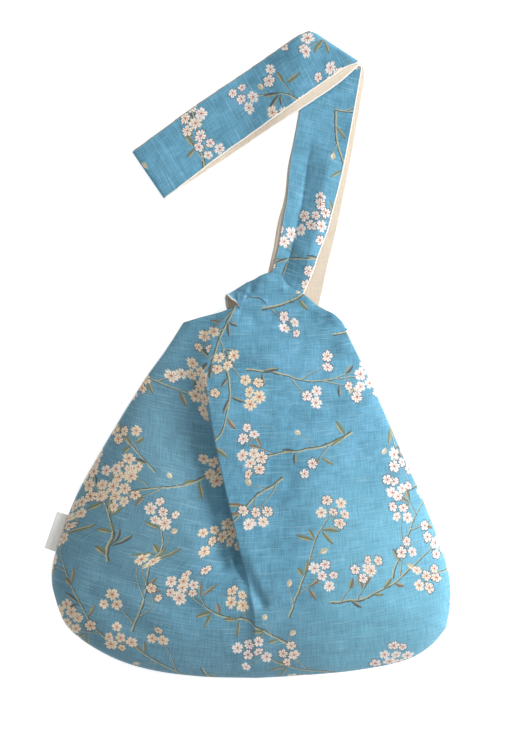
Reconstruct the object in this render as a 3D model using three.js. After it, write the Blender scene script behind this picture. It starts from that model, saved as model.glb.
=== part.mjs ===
// A knot bag: a soft lined cotton pouch with a short and a long loop handle, lying on its back with the long
// handle drawn through the short one. X runs across the bag, Y from its bottom to its handles, Z out of its
// front. Sizes are in millimetres.
import * as THREE from 'three';

// Pouch
const pouchWidth = 300; // across the widest part
const pouchHeight = 301; // bottom seam to the top of the knot
const pouchWall = 1.6; // printed cotton and lining sewn as one wall
const crown = 27; // rise of the front above the side seam
const crownRun = 74; // how far in from the seam the front is still rising
const seamHeight = 5; // side seam above the floor
const backRoll = 13; // how far in from the seam the back still curves up
const mouthHeight = 13; // front edge of the mouth above the floor, at its middle
const gap = 0.3; // between cloth layers that touch

// Handles
const clothLayer = 1; // one layer of a handle: printed cotton or lining
const strapWidth = 43;
const strapRise = 174; // knot to the middle of the fold
const strapTail = 174; // middle of the fold to the end of the loop
const strapPart = 0.6; // between the two halves of the loop
const knotLean = 73; // degrees from X, the strap's direction where it leaves the knot
const foldLean = 80.3; // at its fold
const tailLean = 79; // and past it, laid out flat
const creaseAngle = 146.6; // degrees from X, the line of the fold
const creaseRadius = 3.9; // to the middle of the doubled strap
const creaseReach = 0.55; // how far the pressed fold stands out, as a share of a round one
const strapClear = 1.8; // drop from the short handle's lining at its highest to the strap under it
const pleatRise = 2.6; // of the strap on both sides of its pleat at the knot
const pleatAcross = 0.32; // share of the strap's width from its left edge
const pleatWidth = 0.12; // share of strapWidth
const bandArch = 2.6; // of the bunched short handle across its width
const bandTurn = 5.6; // reach of the short handle round the long one's edge

// Label
const labelWidth = 8;
const labelLength = 29;
const labelThick = 1;
const labelAlong = 0.235; // share of the left side from its lower end to the shoulder

// Outline of the pouch: across is a share of pouchWidth from the middle, up a share of pouchHeight
const leftSide = [
  { across: -0.484, up: 0.179 },
  { across: -0.498, up: 0.237 },
  { across: -0.494, up: 0.294 },
  { across: -0.442, up: 0.444 },
  { across: -0.389, up: 0.543 },
  { across: -0.267, up: 0.743 },
  { across: -0.214, up: 0.817 },
  { across: -0.17, up: 0.886 },
];
const rightSide = [
  { across: 0.488, up: 0.125 },
  { across: 0.499, up: 0.194 },
  { across: 0.493, up: 0.269 },
  { across: 0.431, up: 0.444 },
  { across: 0.386, up: 0.543 },
  { across: 0.298, up: 0.743 },
  { across: 0.236, up: 0.87 },
];
const bottomLeft = [
  { across: -0.484, up: 0.179 },
  { across: -0.464, up: 0.135 },
  { across: -0.422, up: 0.095 },
  { across: -0.337, up: 0.047 },
  { across: -0.249, up: 0.02 },
  { across: -0.129, up: 0.004 },
  { across: 0.013, up: 0 },
];
const bottomRight = [
  { across: 0.013, up: 0 },
  { across: 0.121, up: 0.006 },
  { across: 0.268, up: 0.02 },
  { across: 0.393, up: 0.047 },
  { across: 0.451, up: 0.082 },
  { across: 0.488, up: 0.125 },
];
// Edge of the mouth, front and back, from the left shoulder to the fold and on to the right shoulder
const frontEdgeLeft = [
  { across: -0.17, up: 0.886 },
  { across: -0.129, up: 0.898 },
  { across: -0.069, up: 0.914 },
  { across: -0.029, up: 0.932 },
];
const frontEdgeRight = [
  { across: -0.029, up: 0.932 },
  { across: -0.004, up: 0.95 },
  { across: 0.026, up: 0.962 },
  { across: 0.058, up: 0.966 },
  { across: 0.091, up: 0.956 },
  { across: 0.161, up: 0.914 },
  { across: 0.236, up: 0.87 },
];
const backEdgeLeft = [
  { across: -0.17, up: 0.886 },
  { across: -0.072, up: 0.902 },
  { across: -0.029, up: 0.907 },
];
const backEdgeRight = [
  { across: -0.029, up: 0.907 },
  { across: 0.026, up: 0.909 },
  { across: 0.146, up: 0.892 },
  { across: 0.236, up: 0.87 },
];
// The lap fold from the bottom seam to the mouth
const foldLine = [
  { across: 0.013, up: 0 },
  { across: 0.011, up: 0.182 },
  { across: -0.019, up: 0.319 },
  { across: -0.044, up: 0.434 },
  { across: -0.077, up: 0.576 },
  { across: -0.102, up: 0.693 },
  { across: -0.109, up: 0.762 },
  { across: -0.099, up: 0.83 },
  { across: -0.067, up: 0.888 },
  { across: -0.029, up: 0.932 },
];
// How the front drops on the left of the fold: depth is a share of crown, run a share of pouchWidth
const foldDrops = [
  { along: 0, depth: 0, run: 0.1 },
  { along: 0.2, depth: 0.02, run: 0.1 },
  { along: 0.42, depth: 0.3, run: 0.12 },
  { along: 0.54, depth: 0.4, run: 0.16 },
  { along: 0.66, depth: 0.42, run: 0.2 },
  { along: 0.85, depth: 0.24, run: 0.26 },
  { along: 1, depth: 0.1, run: 0.2 },
];
const lapRun = 0.022; // share of pouchWidth in which the front drops at the fold
const lapRidge = 0.06; // share of crown that the lap stands proud
const lapRidgeRun = 0.06; // share of pouchWidth

// Dents in the front: ends in shares as above, depth a share of crown, width a share of pouchWidth
const dents = [
  { fromAcross: -0.035, fromUp: 0.3, toAcross: 0.03, toUp: 0.185, depth: 0.1, width: 0.034 },
  { fromAcross: -0.11, fromUp: 0.32, toAcross: -0.07, toUp: 0.22, depth: 0.06, width: 0.03 },
  { fromAcross: -0.4, fromUp: 0.22, toAcross: -0.1, toUp: 0.06, depth: 0.05, width: 0.03 },
  { fromAcross: -0.33, fromUp: 0.26, toAcross: -0.13, toUp: 0.16, depth: 0.045, width: 0.03 },
  { fromAcross: 0.0, fromUp: 0.89, toAcross: 0.16, toUp: 0.86, depth: 0.05, width: 0.014 },
  { fromAcross: 0.02, fromUp: 0.84, toAcross: 0.14, toUp: 0.82, depth: 0.035, width: 0.014 },
];

// Edges of the long handle, in shares of strapWidth to the right of its middle line. Along is a share of
// strapRise below the fold and of strapTail past it.
const frontHalf = [
  { along: -1.08, left: -0.33, right: 0.37 },
  { along: -0.93, left: -0.33, right: 0.405 },
  { along: -0.74, left: -0.39, right: 0.465 },
  { along: -0.49, left: -0.49, right: 0.49 },
  { along: 0, left: -0.5, right: 0.5 },
  { along: 0.17, left: -0.46, right: 0.53 },
  { along: 0.58, left: -0.48, right: 0.5 },
  { along: 1, left: -0.52, right: 0.48 },
];
const backHalf = [
  { along: -1.18, left: -0.2, right: 0.66 },
  { along: -0.86, left: -0.33, right: 0.58 },
  { along: -0.49, left: -0.43, right: 0.555 },
  { along: -0.06, left: -0.45, right: 0.53 },
  { along: 0.09, left: -0.55, right: 0.4 },
  { along: 0.63, left: -0.56, right: 0.43 },
  { along: 1, left: -0.52, right: 0.48 },
];
// How far the lining stands past the printed cotton at the left of the front half
const liningPeek = [
  { along: -1.08, share: 0.05 },
  { along: -0.86, share: 0.085 },
  { along: -0.6, share: 0.03 },
  { along: -0.45, share: 0.012 },
  { along: 1, share: 0.012 },
];
// Edges of the short handle: its visible front leg from the right shoulder to the turn, and its back leg from
// there to the right shoulder, in shares of the pouch's size
const frontLeg = [
  { across: 0.23, top: 0.883, bottom: 0.8765 },
  { across: 0.171, top: 0.924, bottom: 0.9115 },
  { across: 0.131, top: 0.956, bottom: 0.9345 },
  { across: 0.095, top: 0.976, bottom: 0.9565 },
  { across: 0.074, top: 1.0, bottom: 0.9645 },
  { across: 0.048, top: 1.009, bottom: 0.9685 },
  { across: 0.008, top: 0.993, bottom: 0.9605 },
  { across: -0.026, top: 0.976, bottom: 0.9375 },
  { across: -0.04, top: 0.967, bottom: 0.9335 },
];
const backLeg = [
  { across: -0.04, top: 0.967, bottom: 0.926 },
  { across: 0.008, top: 0.975, bottom: 0.915 },
  { across: 0.074, top: 0.967, bottom: 0.912 },
  { across: 0.148, top: 0.942, bottom: 0.8955 },
  { across: 0.23, top: 0.888, bottom: 0.875 },
];

const printedCotton = new THREE.MeshStandardMaterial({ color: 0x5a9fc0, roughness: 0.85, metalness: 0 });
const creamLining = new THREE.MeshStandardMaterial({ color: 0xe6dccb, roughness: 0.85, metalness: 0 });
const wovenTape = new THREE.MeshStandardMaterial({ color: 0xf1efe8, roughness: 0.8, metalness: 0 });

const mix = THREE.MathUtils.lerp;
const smooth = (value, low, high) => THREE.MathUtils.smoothstep(value, low, high);

// Reads a table at any value of its key column, easing from row to row
function lookUp(table, key, value, column) {
  let row = 1;
  while (row < table.length - 1 && table[row][key] < value) {
    row += 1;
  }
  const before = table[row - 1];
  const after = table[row];
  const share = THREE.MathUtils.clamp((value - before[key]) / (after[key] - before[key]), 0, 1);
  return mix(before[column], after[column], share * share * (3 - 2 * share));
}

function place(across, up) {
  return new THREE.Vector3(across * pouchWidth, up * pouchHeight, 0);
}

function curveThrough(rows) {
  const points = rows.map((row) => place(row.across, row.up));
  const curve = new THREE.CatmullRomCurve3(points, false, 'centripetal');
  curve.arcLengthDivisions = 120;
  return curve;
}

// A closed mesh from two grids of points, each a list of rows: the face side and the lining side of one layer
function closedSheet(face, lining) {
  const rows = face.length;
  const columns = face[0].length;
  const positions = [];
  for (const side of [face, lining]) {
    for (const row of side) {
      for (const point of row) {
        positions.push(point.x, point.y, point.z);
      }
    }
  }
  const index = [];
  const at = (side, row, column) => (side * rows + row) * columns + column;
  const quad = (a, b, c, d) => index.push(a, b, c, a, c, d);
  for (let row = 0; row + 1 < rows; row += 1) {
    for (let column = 0; column + 1 < columns; column += 1) {
      quad(at(0, row, column), at(0, row, column + 1), at(0, row + 1, column + 1), at(0, row + 1, column));
      quad(at(1, row, column), at(1, row + 1, column), at(1, row + 1, column + 1), at(1, row, column + 1));
    }
    const last = columns - 1;
    quad(at(0, row, 0), at(0, row + 1, 0), at(1, row + 1, 0), at(1, row, 0));
    quad(at(0, row, last), at(1, row, last), at(1, row + 1, last), at(0, row + 1, last));
  }
  for (let column = 0; column + 1 < columns; column += 1) {
    const last = rows - 1;
    quad(at(0, 0, column), at(1, 0, column), at(1, 0, column + 1), at(0, 0, column + 1));
    quad(at(0, last, column), at(0, last, column + 1), at(1, last, column + 1), at(1, last, column));
  }
  const geometry = new THREE.BufferGeometry();
  geometry.setAttribute('position', new THREE.Float32BufferAttribute(positions, 3));
  geometry.setIndex(index);
  geometry.computeVertexNormals();
  return geometry;
}

function piece(name, geometry, material) {
  const mesh = new THREE.Mesh(geometry, material);
  mesh.name = name;
  return mesh;
}

// A patch between two side curves that follows a bottom and a top curve near its ends
function patchBetween(left, right, bottom, top) {
  const bulge = (curve, across) => {
    const straight = curve.getPointAt(0).lerp(curve.getPointAt(1), across);
    return curve.getPointAt(across).sub(straight);
  };
  return (across, up) => {
    const point = left.getPointAt(up).lerp(right.getPointAt(up), across);
    point.addScaledVector(bulge(bottom, across), (1 - up) ** 2.5);
    return point.addScaledVector(bulge(top, across), up ** 3);
  };
}

const leftCurve = curveThrough(leftSide);
const rightCurve = curveThrough(rightSide);
const foldCurve = curveThrough(foldLine);
const bottomLeftCurve = curveThrough(bottomLeft);
const bottomRightCurve = curveThrough(bottomRight);
const seamSteps = 60;
const seamLine = [
  ...leftCurve.getSpacedPoints(seamSteps),
  ...bottomLeftCurve.getSpacedPoints(seamSteps),
  ...bottomRightCurve.getSpacedPoints(seamSteps),
  ...rightCurve.getSpacedPoints(seamSteps),
];

function distanceToLine(point, from, to) {
  const line = to.clone().sub(from);
  const lengthSquared = line.lengthSq();
  if (lengthSquared === 0) {
    return point.distanceTo(from);
  }
  const share = THREE.MathUtils.clamp(point.clone().sub(from).dot(line) / lengthSquared, 0, 1);
  return point.distanceTo(from.clone().addScaledVector(line, share));
}

function distanceToSeam(point) {
  let nearest = Infinity;
  let start = 0;
  for (const run of [seamSteps, 2 * seamSteps + 1, 3 * seamSteps + 2, 4 * seamSteps + 3]) {
    for (let step = start; step < run; step += 1) {
      nearest = Math.min(nearest, distanceToLine(point, seamLine[step], seamLine[step + 1]));
    }
    start = run + 1;
  }
  return nearest;
}

// 1 in the middle, falling off to both sides
const bell = (distance, run) => Math.exp(-((distance / run) ** 2));
// A quarter round from 0 at the seam to 1 where it is level
const rounded = (distance, run) => Math.sqrt(1 - (1 - Math.min(distance / run, 1)) ** 2);

function frontHeight(point, up, fromFold) {
  const mouthShare = (mouthHeight - seamHeight) / crown;
  let share = mix(1, mouthShare, smooth(up, 0.5, 1));
  const depth = lookUp(foldDrops, 'along', up, 'depth');
  const run = lookUp(foldDrops, 'along', up, 'run') * pouchWidth;
  if (fromFold < 0) {
    share -= depth * (1 - bell(fromFold, lapRun * pouchWidth)) * bell(fromFold, run);
  }
  share += lapRidge * smooth(depth, 0, lapRidge) * bell(fromFold, lapRidgeRun * pouchWidth);
  for (const dent of dents) {
    const from = place(dent.fromAcross, dent.fromUp);
    const to = place(dent.toAcross, dent.toUp);
    share -= dent.depth * bell(distanceToLine(point, from, to), dent.width * pouchWidth);
  }
  return seamHeight + gap / 2 + crown * share * rounded(distanceToSeam(point), crownRun);
}

function backHeight(point) {
  return (seamHeight - gap / 2) * (1 - rounded(distanceToSeam(point), backRoll));
}

// Spacing of rows and columns: shorter steps at the start, and at both ends
const easeOut = (share) => mix(share, 1 - Math.cos((share * Math.PI) / 2), 0.7);
const easeBoth = (share) => mix(share, (1 - Math.cos(share * Math.PI)) / 2, 0.7);

// Grid of a panel: rows run up the bag, closer at the bottom seam, and columns are closer at its sides and
// its fold
function panelGrid(middleCurve, topLeft, topRight, counts, heightAt) {
  const leftPatch = patchBetween(leftCurve, middleCurve, bottomLeftCurve, curveThrough(topLeft));
  const rightPatch = patchBetween(middleCurve, rightCurve, bottomRightCurve, curveThrough(topRight));
  const rows = [];
  for (let row = 0; row <= counts.rows; row += 1) {
    const up = easeOut(row / counts.rows);
    const foldPoint = leftPatch(1, up);
    const points = [];
    for (let column = 0; column < counts.left; column += 1) {
      points.push(leftPatch(easeBoth(column / counts.left), up));
    }
    for (let column = 0; column <= counts.right; column += 1) {
      points.push(rightPatch(easeBoth(column / counts.right), up));
    }
    for (const point of points) {
      const height = heightAt(point.clone().setZ(0), up, point.x - foldPoint.x);
      point.z = height;
    }
    rows.push(points);
  }
  return rows;
}

// The same grid moved by the wall's thickness to the inside. At the seam it moves level, so that the front
// and the back meet there face to face.
function innerGrid(grid, thickness, facing) {
  const lastColumn = grid[0].length - 1;
  const near = (list, index) => list[THREE.MathUtils.clamp(index, 0, list.length - 1)];
  const middle = place(0, 0.4);
  return grid.map((points, row) => points.map((point, column) => {
    const alongRow = near(points, column + 1).clone().sub(near(points, column - 1));
    const alongColumn = near(grid, row + 1)[column].clone().sub(near(grid, row - 1)[column]);
    const normal = alongRow.clone().cross(alongColumn).multiplyScalar(facing);
    if (row === 0 || column === 0 || column === lastColumn) {
      let before = near(grid, row - 1)[column];
      let after = near(grid, row + 1)[column];
      if (row === 0) {
        before = column === 0 ? grid[1][0] : points[column - 1];
        after = column === lastColumn ? grid[1][lastColumn] : points[column + 1];
      }
      normal.set(after.y - before.y, before.x - after.x, 0);
      if (normal.dot(point.clone().sub(middle)) < 0) {
        normal.negate();
      }
    }
    const inside = point.clone().addScaledVector(normal.normalize(), -thickness);
    const level = seamHeight + (facing * gap) / 2;
    inside.z = facing > 0 ? Math.max(inside.z, level) : Math.min(inside.z, level);
    return inside;
  }));
}

function frontPanel() {
  const counts = { rows: 28, left: 14, right: 17 };
  const grid = panelGrid(foldCurve, frontEdgeLeft, frontEdgeRight, counts, frontHeight);
  return piece('front_panel', closedSheet(grid, innerGrid(grid, pouchWall, 1)), printedCotton);
}

function backPanel() {
  const middle = curveThrough([bottomLeft[bottomLeft.length - 1], backEdgeRight[0]]);
  const counts = { rows: 14, left: 8, right: 10 };
  const grid = panelGrid(middle, backEdgeLeft, backEdgeRight, counts, backHeight);
  const inside = innerGrid(grid, pouchWall, -1);
  return piece('back_panel', closedSheet(inside, grid), printedCotton);
}

// Middle line of the long handle, laid out flat from the knot past the fold
const strapKnot = place(0.098, 1.0037);
const degrees = THREE.MathUtils.degToRad;

function strapDirection(along) {
  const lean = degrees(along < 0 ? mix(foldLean, knotLean, (along / strapRise) ** 2) : tailLean);
  return new THREE.Vector3(Math.cos(lean), Math.sin(lean), 0);
}

function strapMiddle(along) {
  const steps = 24;
  const middle = strapKnot.clone();
  const length = (along + strapRise) / steps;
  for (let step = 0; step < steps; step += 1) {
    middle.addScaledVector(strapDirection(-strapRise + (step + 0.5) * length), length);
  }
  return middle;
}

const halfStack = 2 * clothLayer + gap + strapPart / 2;
const creaseLine = new THREE.Vector3(Math.cos(degrees(creaseAngle)), Math.sin(degrees(creaseAngle)), 0);
const pastCrease = new THREE.Vector3(creaseLine.y, -creaseLine.x, 0);
const foldMiddle = strapMiddle(0).addScaledVector(pastCrease, -creaseReach * (creaseRadius + halfStack));
const foldLength = 2.4 * creaseRadius; // of strap taken up by the pressed fold
const creaseSlant = degrees(creaseAngle - foldLean);
const bendStart = (-creaseReach * (creaseRadius + halfStack)) / Math.sin(creaseSlant);
const bendEnd = bendStart + foldLength / Math.sin(creaseSlant);
// Steps of the long handle's stations, and its columns in shares of its width
const riseSteps = 14;
const bendSteps = 7;
const tailSteps = 10;
const turnSteps = 6;
const strapColumns = [0, 0.16, pleatAcross, 0.5, 0.75, 1];
const strapSide = new THREE.Vector3(strapDirection(0).y, -strapDirection(0).x, 0);
const bendReach = 1.1 * strapWidth; // along the strap, in which it comes back to lying flat
const bendNear = 0.3 * strapWidth; // along the strap, in which its stations lie along the crease
const stationGap = 0.2 * strapWidth; // least distance from a bend to the next station

// Takes a point of the flat strap, its height measured from the middle of the doubled strap, to where it lies
function layStrap(flat, height) {
  const offset = flat.clone().sub(foldMiddle);
  const beyond = offset.dot(pastCrease);
  if (beyond <= 0) {
    return flat.clone().setZ(halfStack + height);
  }
  const placed = foldMiddle.clone().addScaledVector(creaseLine, offset.dot(creaseLine));
  const turn = Math.PI * Math.min(beyond / foldLength, 1);
  const radius = creaseRadius - height;
  const past = Math.max(beyond - foldLength, 0);
  placed.addScaledVector(pastCrease, creaseReach * radius * Math.sin(turn) - past);
  placed.z = halfStack + creaseRadius - radius * Math.cos(turn);
  const clear = -placed.clone().sub(foldMiddle).dot(strapSide) - strapWidth / 2;
  placed.z -= 2 * creaseRadius * smooth(clear, 0, bendReach);
  return placed;
}

// Shares of strapRise below the fold where the pleat begins and ends and the strap climbs into the knot
const pleatStart = 0.4;
const pleatEnd = 0.8;
const climbStart = 0.64;
const climbEnd = 0.96;
const bandBack = 2 * clothLayer + 2 * gap; // height of the short handle's back leg with its gap
const frontLift = mouthHeight - 2 * clothLayer - gap - strapClear - 2 * halfStack;

// One row of points across the long handle
function strapRow(along, height, edges, isFront, peek) {
  const share = along / (along < 0 ? strapRise : strapTail);
  const direction = strapDirection(along);
  const toRight = new THREE.Vector3(direction.y, -direction.x, 0);
  const middle = strapMiddle(along);
  const extra = peek * lookUp(liningPeek, 'along', share, 'share') * strapWidth;
  const left = lookUp(edges, 'along', share, 'left') * strapWidth;
  const right = lookUp(edges, 'along', share, 'right') * strapWidth;
  const pleatAt = mix(left, right, pleatAcross);
  const nearKnot = smooth(-share, climbStart, climbEnd);
  const slant = (smooth(Math.abs(along), bendNear, bendReach) - 1) / Math.tan(creaseSlant);
  const points = [];
  for (const across of strapColumns) {
    const offset = mix(left, right, across) - (across === 0 ? extra : 0);
    let lift = nearKnot * (isFront ? frontLift : bandBack);
    if (isFront) {
      const fromPleat = (offset - pleatAt) / strapWidth;
      const fade = smooth(-share, pleatStart, climbStart) * (1 - smooth(-share, pleatEnd, climbEnd));
      const side = 1 - smooth(fromPleat, pleatWidth, 5 * pleatWidth);
      lift += pleatRise * (1 - bell(fromPleat, pleatWidth)) * fade * side;
    }
    const flat = middle.clone().addScaledVector(toRight, offset).addScaledVector(direction, slant * offset);
    points.push(layStrap(flat, height + lift));
  }
  return points;
}

// The stations of the loop from its front end round its far turn to its back end, for one surface of the
// strap that lies radius away from the middle of the doubled strap
function strapSurface(radius, peek) {
  const tableEnd = (edges) => edges[0].along * strapRise;
  const stations = (start) => {
    const list = [];
    for (let along = start; along < bendStart - stationGap; along += strapRise / riseSteps) {
      list.push(along);
    }
    for (let step = 0; step <= bendSteps; step += 1) {
      list.push(mix(bendStart, bendEnd, step / bendSteps));
    }
    const tailStart = bendEnd + stationGap;
    const tailEnd = strapTail - stationGap;
    for (let step = 0; step <= tailSteps; step += 1) {
      list.push(mix(tailStart, tailEnd, step / tailSteps));
    }
    return list;
  };
  const rows = stations(tableEnd(frontHalf)).map((along) => strapRow(along, radius, frontHalf, true, peek));
  const turnMiddle = strapTail - halfStack;
  for (let step = 0; step <= turnSteps; step += 1) {
    const turn = (Math.PI * step) / turnSteps;
    const edges = turn < Math.PI / 2 ? frontHalf : backHalf;
    rows.push(strapRow(turnMiddle + radius * Math.sin(turn), radius * Math.cos(turn), edges, false, peek));
  }
  const back = stations(tableEnd(backHalf)).reverse();
  return [...rows, ...back.map((along) => strapRow(along, -radius, backHalf, false, peek))];
}

function longHandle() {
  const inner = strapPart / 2;
  const linings = [inner + clothLayer, inner];
  const printed = [halfStack, halfStack - clothLayer];
  const outer = closedSheet(strapSurface(printed[0], 0), strapSurface(printed[1], 0));
  const lining = closedSheet(strapSurface(linings[0], 1), strapSurface(linings[1], 1));
  return [piece('long_handle', outer, printedCotton), piece('long_handle_lining', lining, creamLining)];
}

const bandColumns = [0, 0.2, 0.5, 0.8, 1];
const bandSteps = 7; // round its turn
const bandFull = 0.04; // share of pouchHeight at which it has its whole arch
const bandDip = 0.012; // of its top edge at the turn, a share of pouchHeight

// One row of points across the short handle, at a depth under its face
function bandRow(row, outward, level, arch, depth) {
  const points = [];
  for (const share of bandColumns) {
    const bulge = arch * Math.sin(Math.PI * share);
    const point = place(row.across, mix(row.bottom, row.top, share));
    point.z = level;
    points.push(point.addScaledVector(outward, bulge - depth));
  }
  return points;
}

function bandSurface(depth) {
  const up = new THREE.Vector3(0, 0, 1);
  const rows = [];
  const topCurve = curveThrough(frontEdgeRight);
  const start = frontEdgeRight[0].across;
  const end = frontEdgeRight[frontEdgeRight.length - 1].across;
  const edgeHeight = (across) => {
    const share = THREE.MathUtils.clamp((across - start) / (end - start), 0, 1);
    const point = topCurve.getPointAt(share);
    return frontHeight(point, 1, point.x - foldCurve.getPointAt(1).x);
  };
  for (const row of frontLeg) {
    const full = Math.min((row.top - row.bottom) / bandFull, 1);
    rows.push(bandRow(row, up, edgeHeight(row.across), bandArch * full, depth));
  }
  const last = frontLeg[frontLeg.length - 1];
  const first = backLeg[0];
  const high = edgeHeight(last.across);
  for (let step = 1; step < bandSteps; step += 1) {
    const share = step / bandSteps;
    const turn = Math.PI * share;
    const outward = new THREE.Vector3(-Math.sin(turn), 0, Math.cos(turn));
    const row = {
      across: last.across - (bandTurn * Math.sin(turn)) / pouchWidth,
      top: mix(last.top, first.top, share) - bandDip * Math.sin(turn),
      bottom: mix(last.bottom, first.bottom, share),
    };
    rows.push(bandRow(row, outward, (high * (1 + Math.cos(turn))) / 2, bandArch * (1 - share), depth));
  }
  const down = new THREE.Vector3(0, 0, -1);
  for (const row of backLeg) {
    rows.push(bandRow(row, down, 0, 0, depth));
  }
  return rows;
}

function shortHandle() {
  const liningDepth = clothLayer + gap;
  const outer = closedSheet(bandSurface(0), bandSurface(clothLayer));
  const lining = closedSheet(bandSurface(liningDepth), bandSurface(liningDepth + clothLayer));
  return [piece('short_handle', outer, printedCotton), piece('short_handle_lining', lining, creamLining)];
}

function sideLabel() {
  const best = leftCurve.getPointAt(labelAlong);
  const along = leftCurve.getTangentAt(labelAlong);
  const outward = new THREE.Vector3(-along.y, along.x, 0);
  const label = piece('side_label', new THREE.BoxGeometry(labelWidth, labelLength, labelThick), wovenTape);
  label.position.copy(best).addScaledVector(outward, labelWidth / 2 + gap);
  label.position.z = seamHeight;
  label.rotation.z = Math.atan2(along.y, along.x) - Math.PI / 2;
  return label;
}

// The whole bag, with its origin under the middle of its box
const bag = new THREE.Group();
bag.add(frontPanel(), backPanel(), ...shortHandle(), ...longHandle(), sideLabel());
const box = new THREE.Box3().setFromObject(bag);
bag.position.set(-(box.min.x + box.max.x) / 2, -(box.min.y + box.max.y) / 2, -box.min.z);

export default bag;
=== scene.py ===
"""Looks for a cotton knot bag that lies on its back, its long handle drawn through the short one.

Everything is worked out in millimetres from the bag's own middle and bottom seam, and moved into the
frame as each mesh is made.
"""
import math
import random

import bmesh
import bpy
import numpy as np
from bpy.props import FloatProperty, FloatVectorProperty, IntProperty, PointerProperty
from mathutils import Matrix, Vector


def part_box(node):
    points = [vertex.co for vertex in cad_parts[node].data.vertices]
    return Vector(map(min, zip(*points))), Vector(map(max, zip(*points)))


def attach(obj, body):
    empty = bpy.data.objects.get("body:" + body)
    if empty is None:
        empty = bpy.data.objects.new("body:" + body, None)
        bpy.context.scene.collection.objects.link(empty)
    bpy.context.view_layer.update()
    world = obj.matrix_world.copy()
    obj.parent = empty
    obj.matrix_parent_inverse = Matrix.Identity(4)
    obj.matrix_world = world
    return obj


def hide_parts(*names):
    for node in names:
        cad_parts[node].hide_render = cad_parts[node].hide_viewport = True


bl_info = {
    "name": "Knot bag",
    "version": (1, 0, 0),
    "blender": (4, 5, 0),
    "location": "View3D > Sidebar > Knot bag",
    "description": "A lined cotton knot bag with two loop handles",
    "category": "Add Mesh",
}

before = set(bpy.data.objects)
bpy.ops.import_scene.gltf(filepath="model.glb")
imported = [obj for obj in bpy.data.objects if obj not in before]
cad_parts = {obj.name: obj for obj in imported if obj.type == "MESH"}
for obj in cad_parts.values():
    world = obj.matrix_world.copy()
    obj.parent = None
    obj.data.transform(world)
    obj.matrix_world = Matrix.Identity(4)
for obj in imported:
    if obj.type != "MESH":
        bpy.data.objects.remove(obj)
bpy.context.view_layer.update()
MM = 0.001

# Sizes of the pouch and the handles, as the solids have them
POUCH_WIDTH = 300.0
POUCH_HEIGHT = 301.0
CROWN = 27.0
CROWN_RUN = 74.0
SEAM_HEIGHT = 5.0
BACK_ROLL = 13.0
MOUTH_HEIGHT = 13.0
POUCH_WALL = 1.6
GAP = 0.3
CLOTH = 1.0
STRAP_WIDTH = 43.0
STRAP_RISE = 174.0
STRAP_TAIL = 174.0
STRAP_PART = 0.6
KNOT_LEAN = 73.0
FOLD_LEAN = 80.3
TAIL_LEAN = 79.0
CREASE_ANGLE = 146.6
CREASE_RADIUS = 3.9
CREASE_REACH = 0.55
STRAP_CLEAR = 1.8
PLEAT_RISE = 4.2
PLEAT_SINK = 1.3
PLEAT_ACROSS = 0.32
SEAM_FROM_END = 23.0
SEAM_DIP = 0.5
SEAM_WEAR = 0.25
BAND_ARCH = 2.6
BAND_TURN = 6.4
BAND_LEAN = 1.4
BAND_FALL = 7.5
BAND_FALL_RUN = (-14.0, 16.0)
# Right of the knot the short handle and the front are one cloth, so the handle runs out into the front
MERGE_START = 6.0
MERGE_END = 18.0
MERGE_RUN = 12.0
MERGE_SINK = 0.7

# Outline of the pouch in shares of its width and height
LEFT_SIDE = {
    "across": (-0.484, -0.498, -0.494, -0.442, -0.389, -0.267, -0.214, -0.17),
    "up": (0.179, 0.237, 0.294, 0.444, 0.543, 0.743, 0.817, 0.886),
}
RIGHT_SIDE = {
    "across": (0.488, 0.499, 0.493, 0.431, 0.386, 0.298, 0.236),
    "up": (0.125, 0.194, 0.269, 0.444, 0.543, 0.743, 0.87),
}
BOTTOM_LEFT = {
    "across": (-0.484, -0.464, -0.422, -0.337, -0.249, -0.129, 0.013),
    "up": (0.179, 0.135, 0.095, 0.047, 0.02, 0.004, 0.0),
}
BOTTOM_RIGHT = {
    "across": (0.013, 0.121, 0.268, 0.393, 0.451, 0.488),
    "up": (0.0, 0.006, 0.02, 0.047, 0.082, 0.125),
}
FRONT_EDGE_LEFT = {"across": (-0.17, -0.129, -0.069, -0.029), "up": (0.886, 0.898, 0.914, 0.932)}
FRONT_EDGE_RIGHT = {
    "across": (-0.029, -0.004, 0.026, 0.058, 0.091, 0.161, 0.236),
    "up": (0.932, 0.95, 0.962, 0.966, 0.956, 0.914, 0.87),
}
BACK_EDGE_LEFT = {"across": (-0.17, -0.072, -0.029), "up": (0.886, 0.902, 0.907)}
BACK_EDGE_RIGHT = {"across": (-0.029, 0.026, 0.146, 0.236), "up": (0.907, 0.909, 0.892, 0.87)}
BACK_MIDDLE = {"across": (0.013, -0.029), "up": (0.0, 0.907)}
FOLD_LINE = {
    "across": (0.013, 0.011, -0.019, -0.044, -0.077, -0.102, -0.109, -0.099, -0.067, -0.029),
    "up": (0.0, 0.182, 0.319, 0.434, 0.576, 0.693, 0.762, 0.83, 0.888, 0.932),
}
# The drop on the left of the fold: depth a share of the crown, run and lap in mm, overhang in mm
FOLD_DROPS = {
    "along": (0.0, 0.2, 0.36, 0.5, 0.62, 0.72, 0.85, 1.0),
    "depth": (0.0, 0.12, 0.36, 0.48, 0.48, 0.38, 0.24, 0.1),
    "run": (30.0, 30.0, 30.0, 38.0, 46.0, 58.0, 78.0, 60.0),
    "lap": (6.0, 4.0, 2.0, 1.6, 2.4, 6.0, 13.0, 13.0),
    "over": (0.0, 0.6, 2.4, 3.0, 2.4, 0.6, 0.0, 0.0),
}
LAP_HIDES = 9.0
LAP_RIDGE = 0.07
LAP_RIDGE_RUN = 18.0

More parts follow.
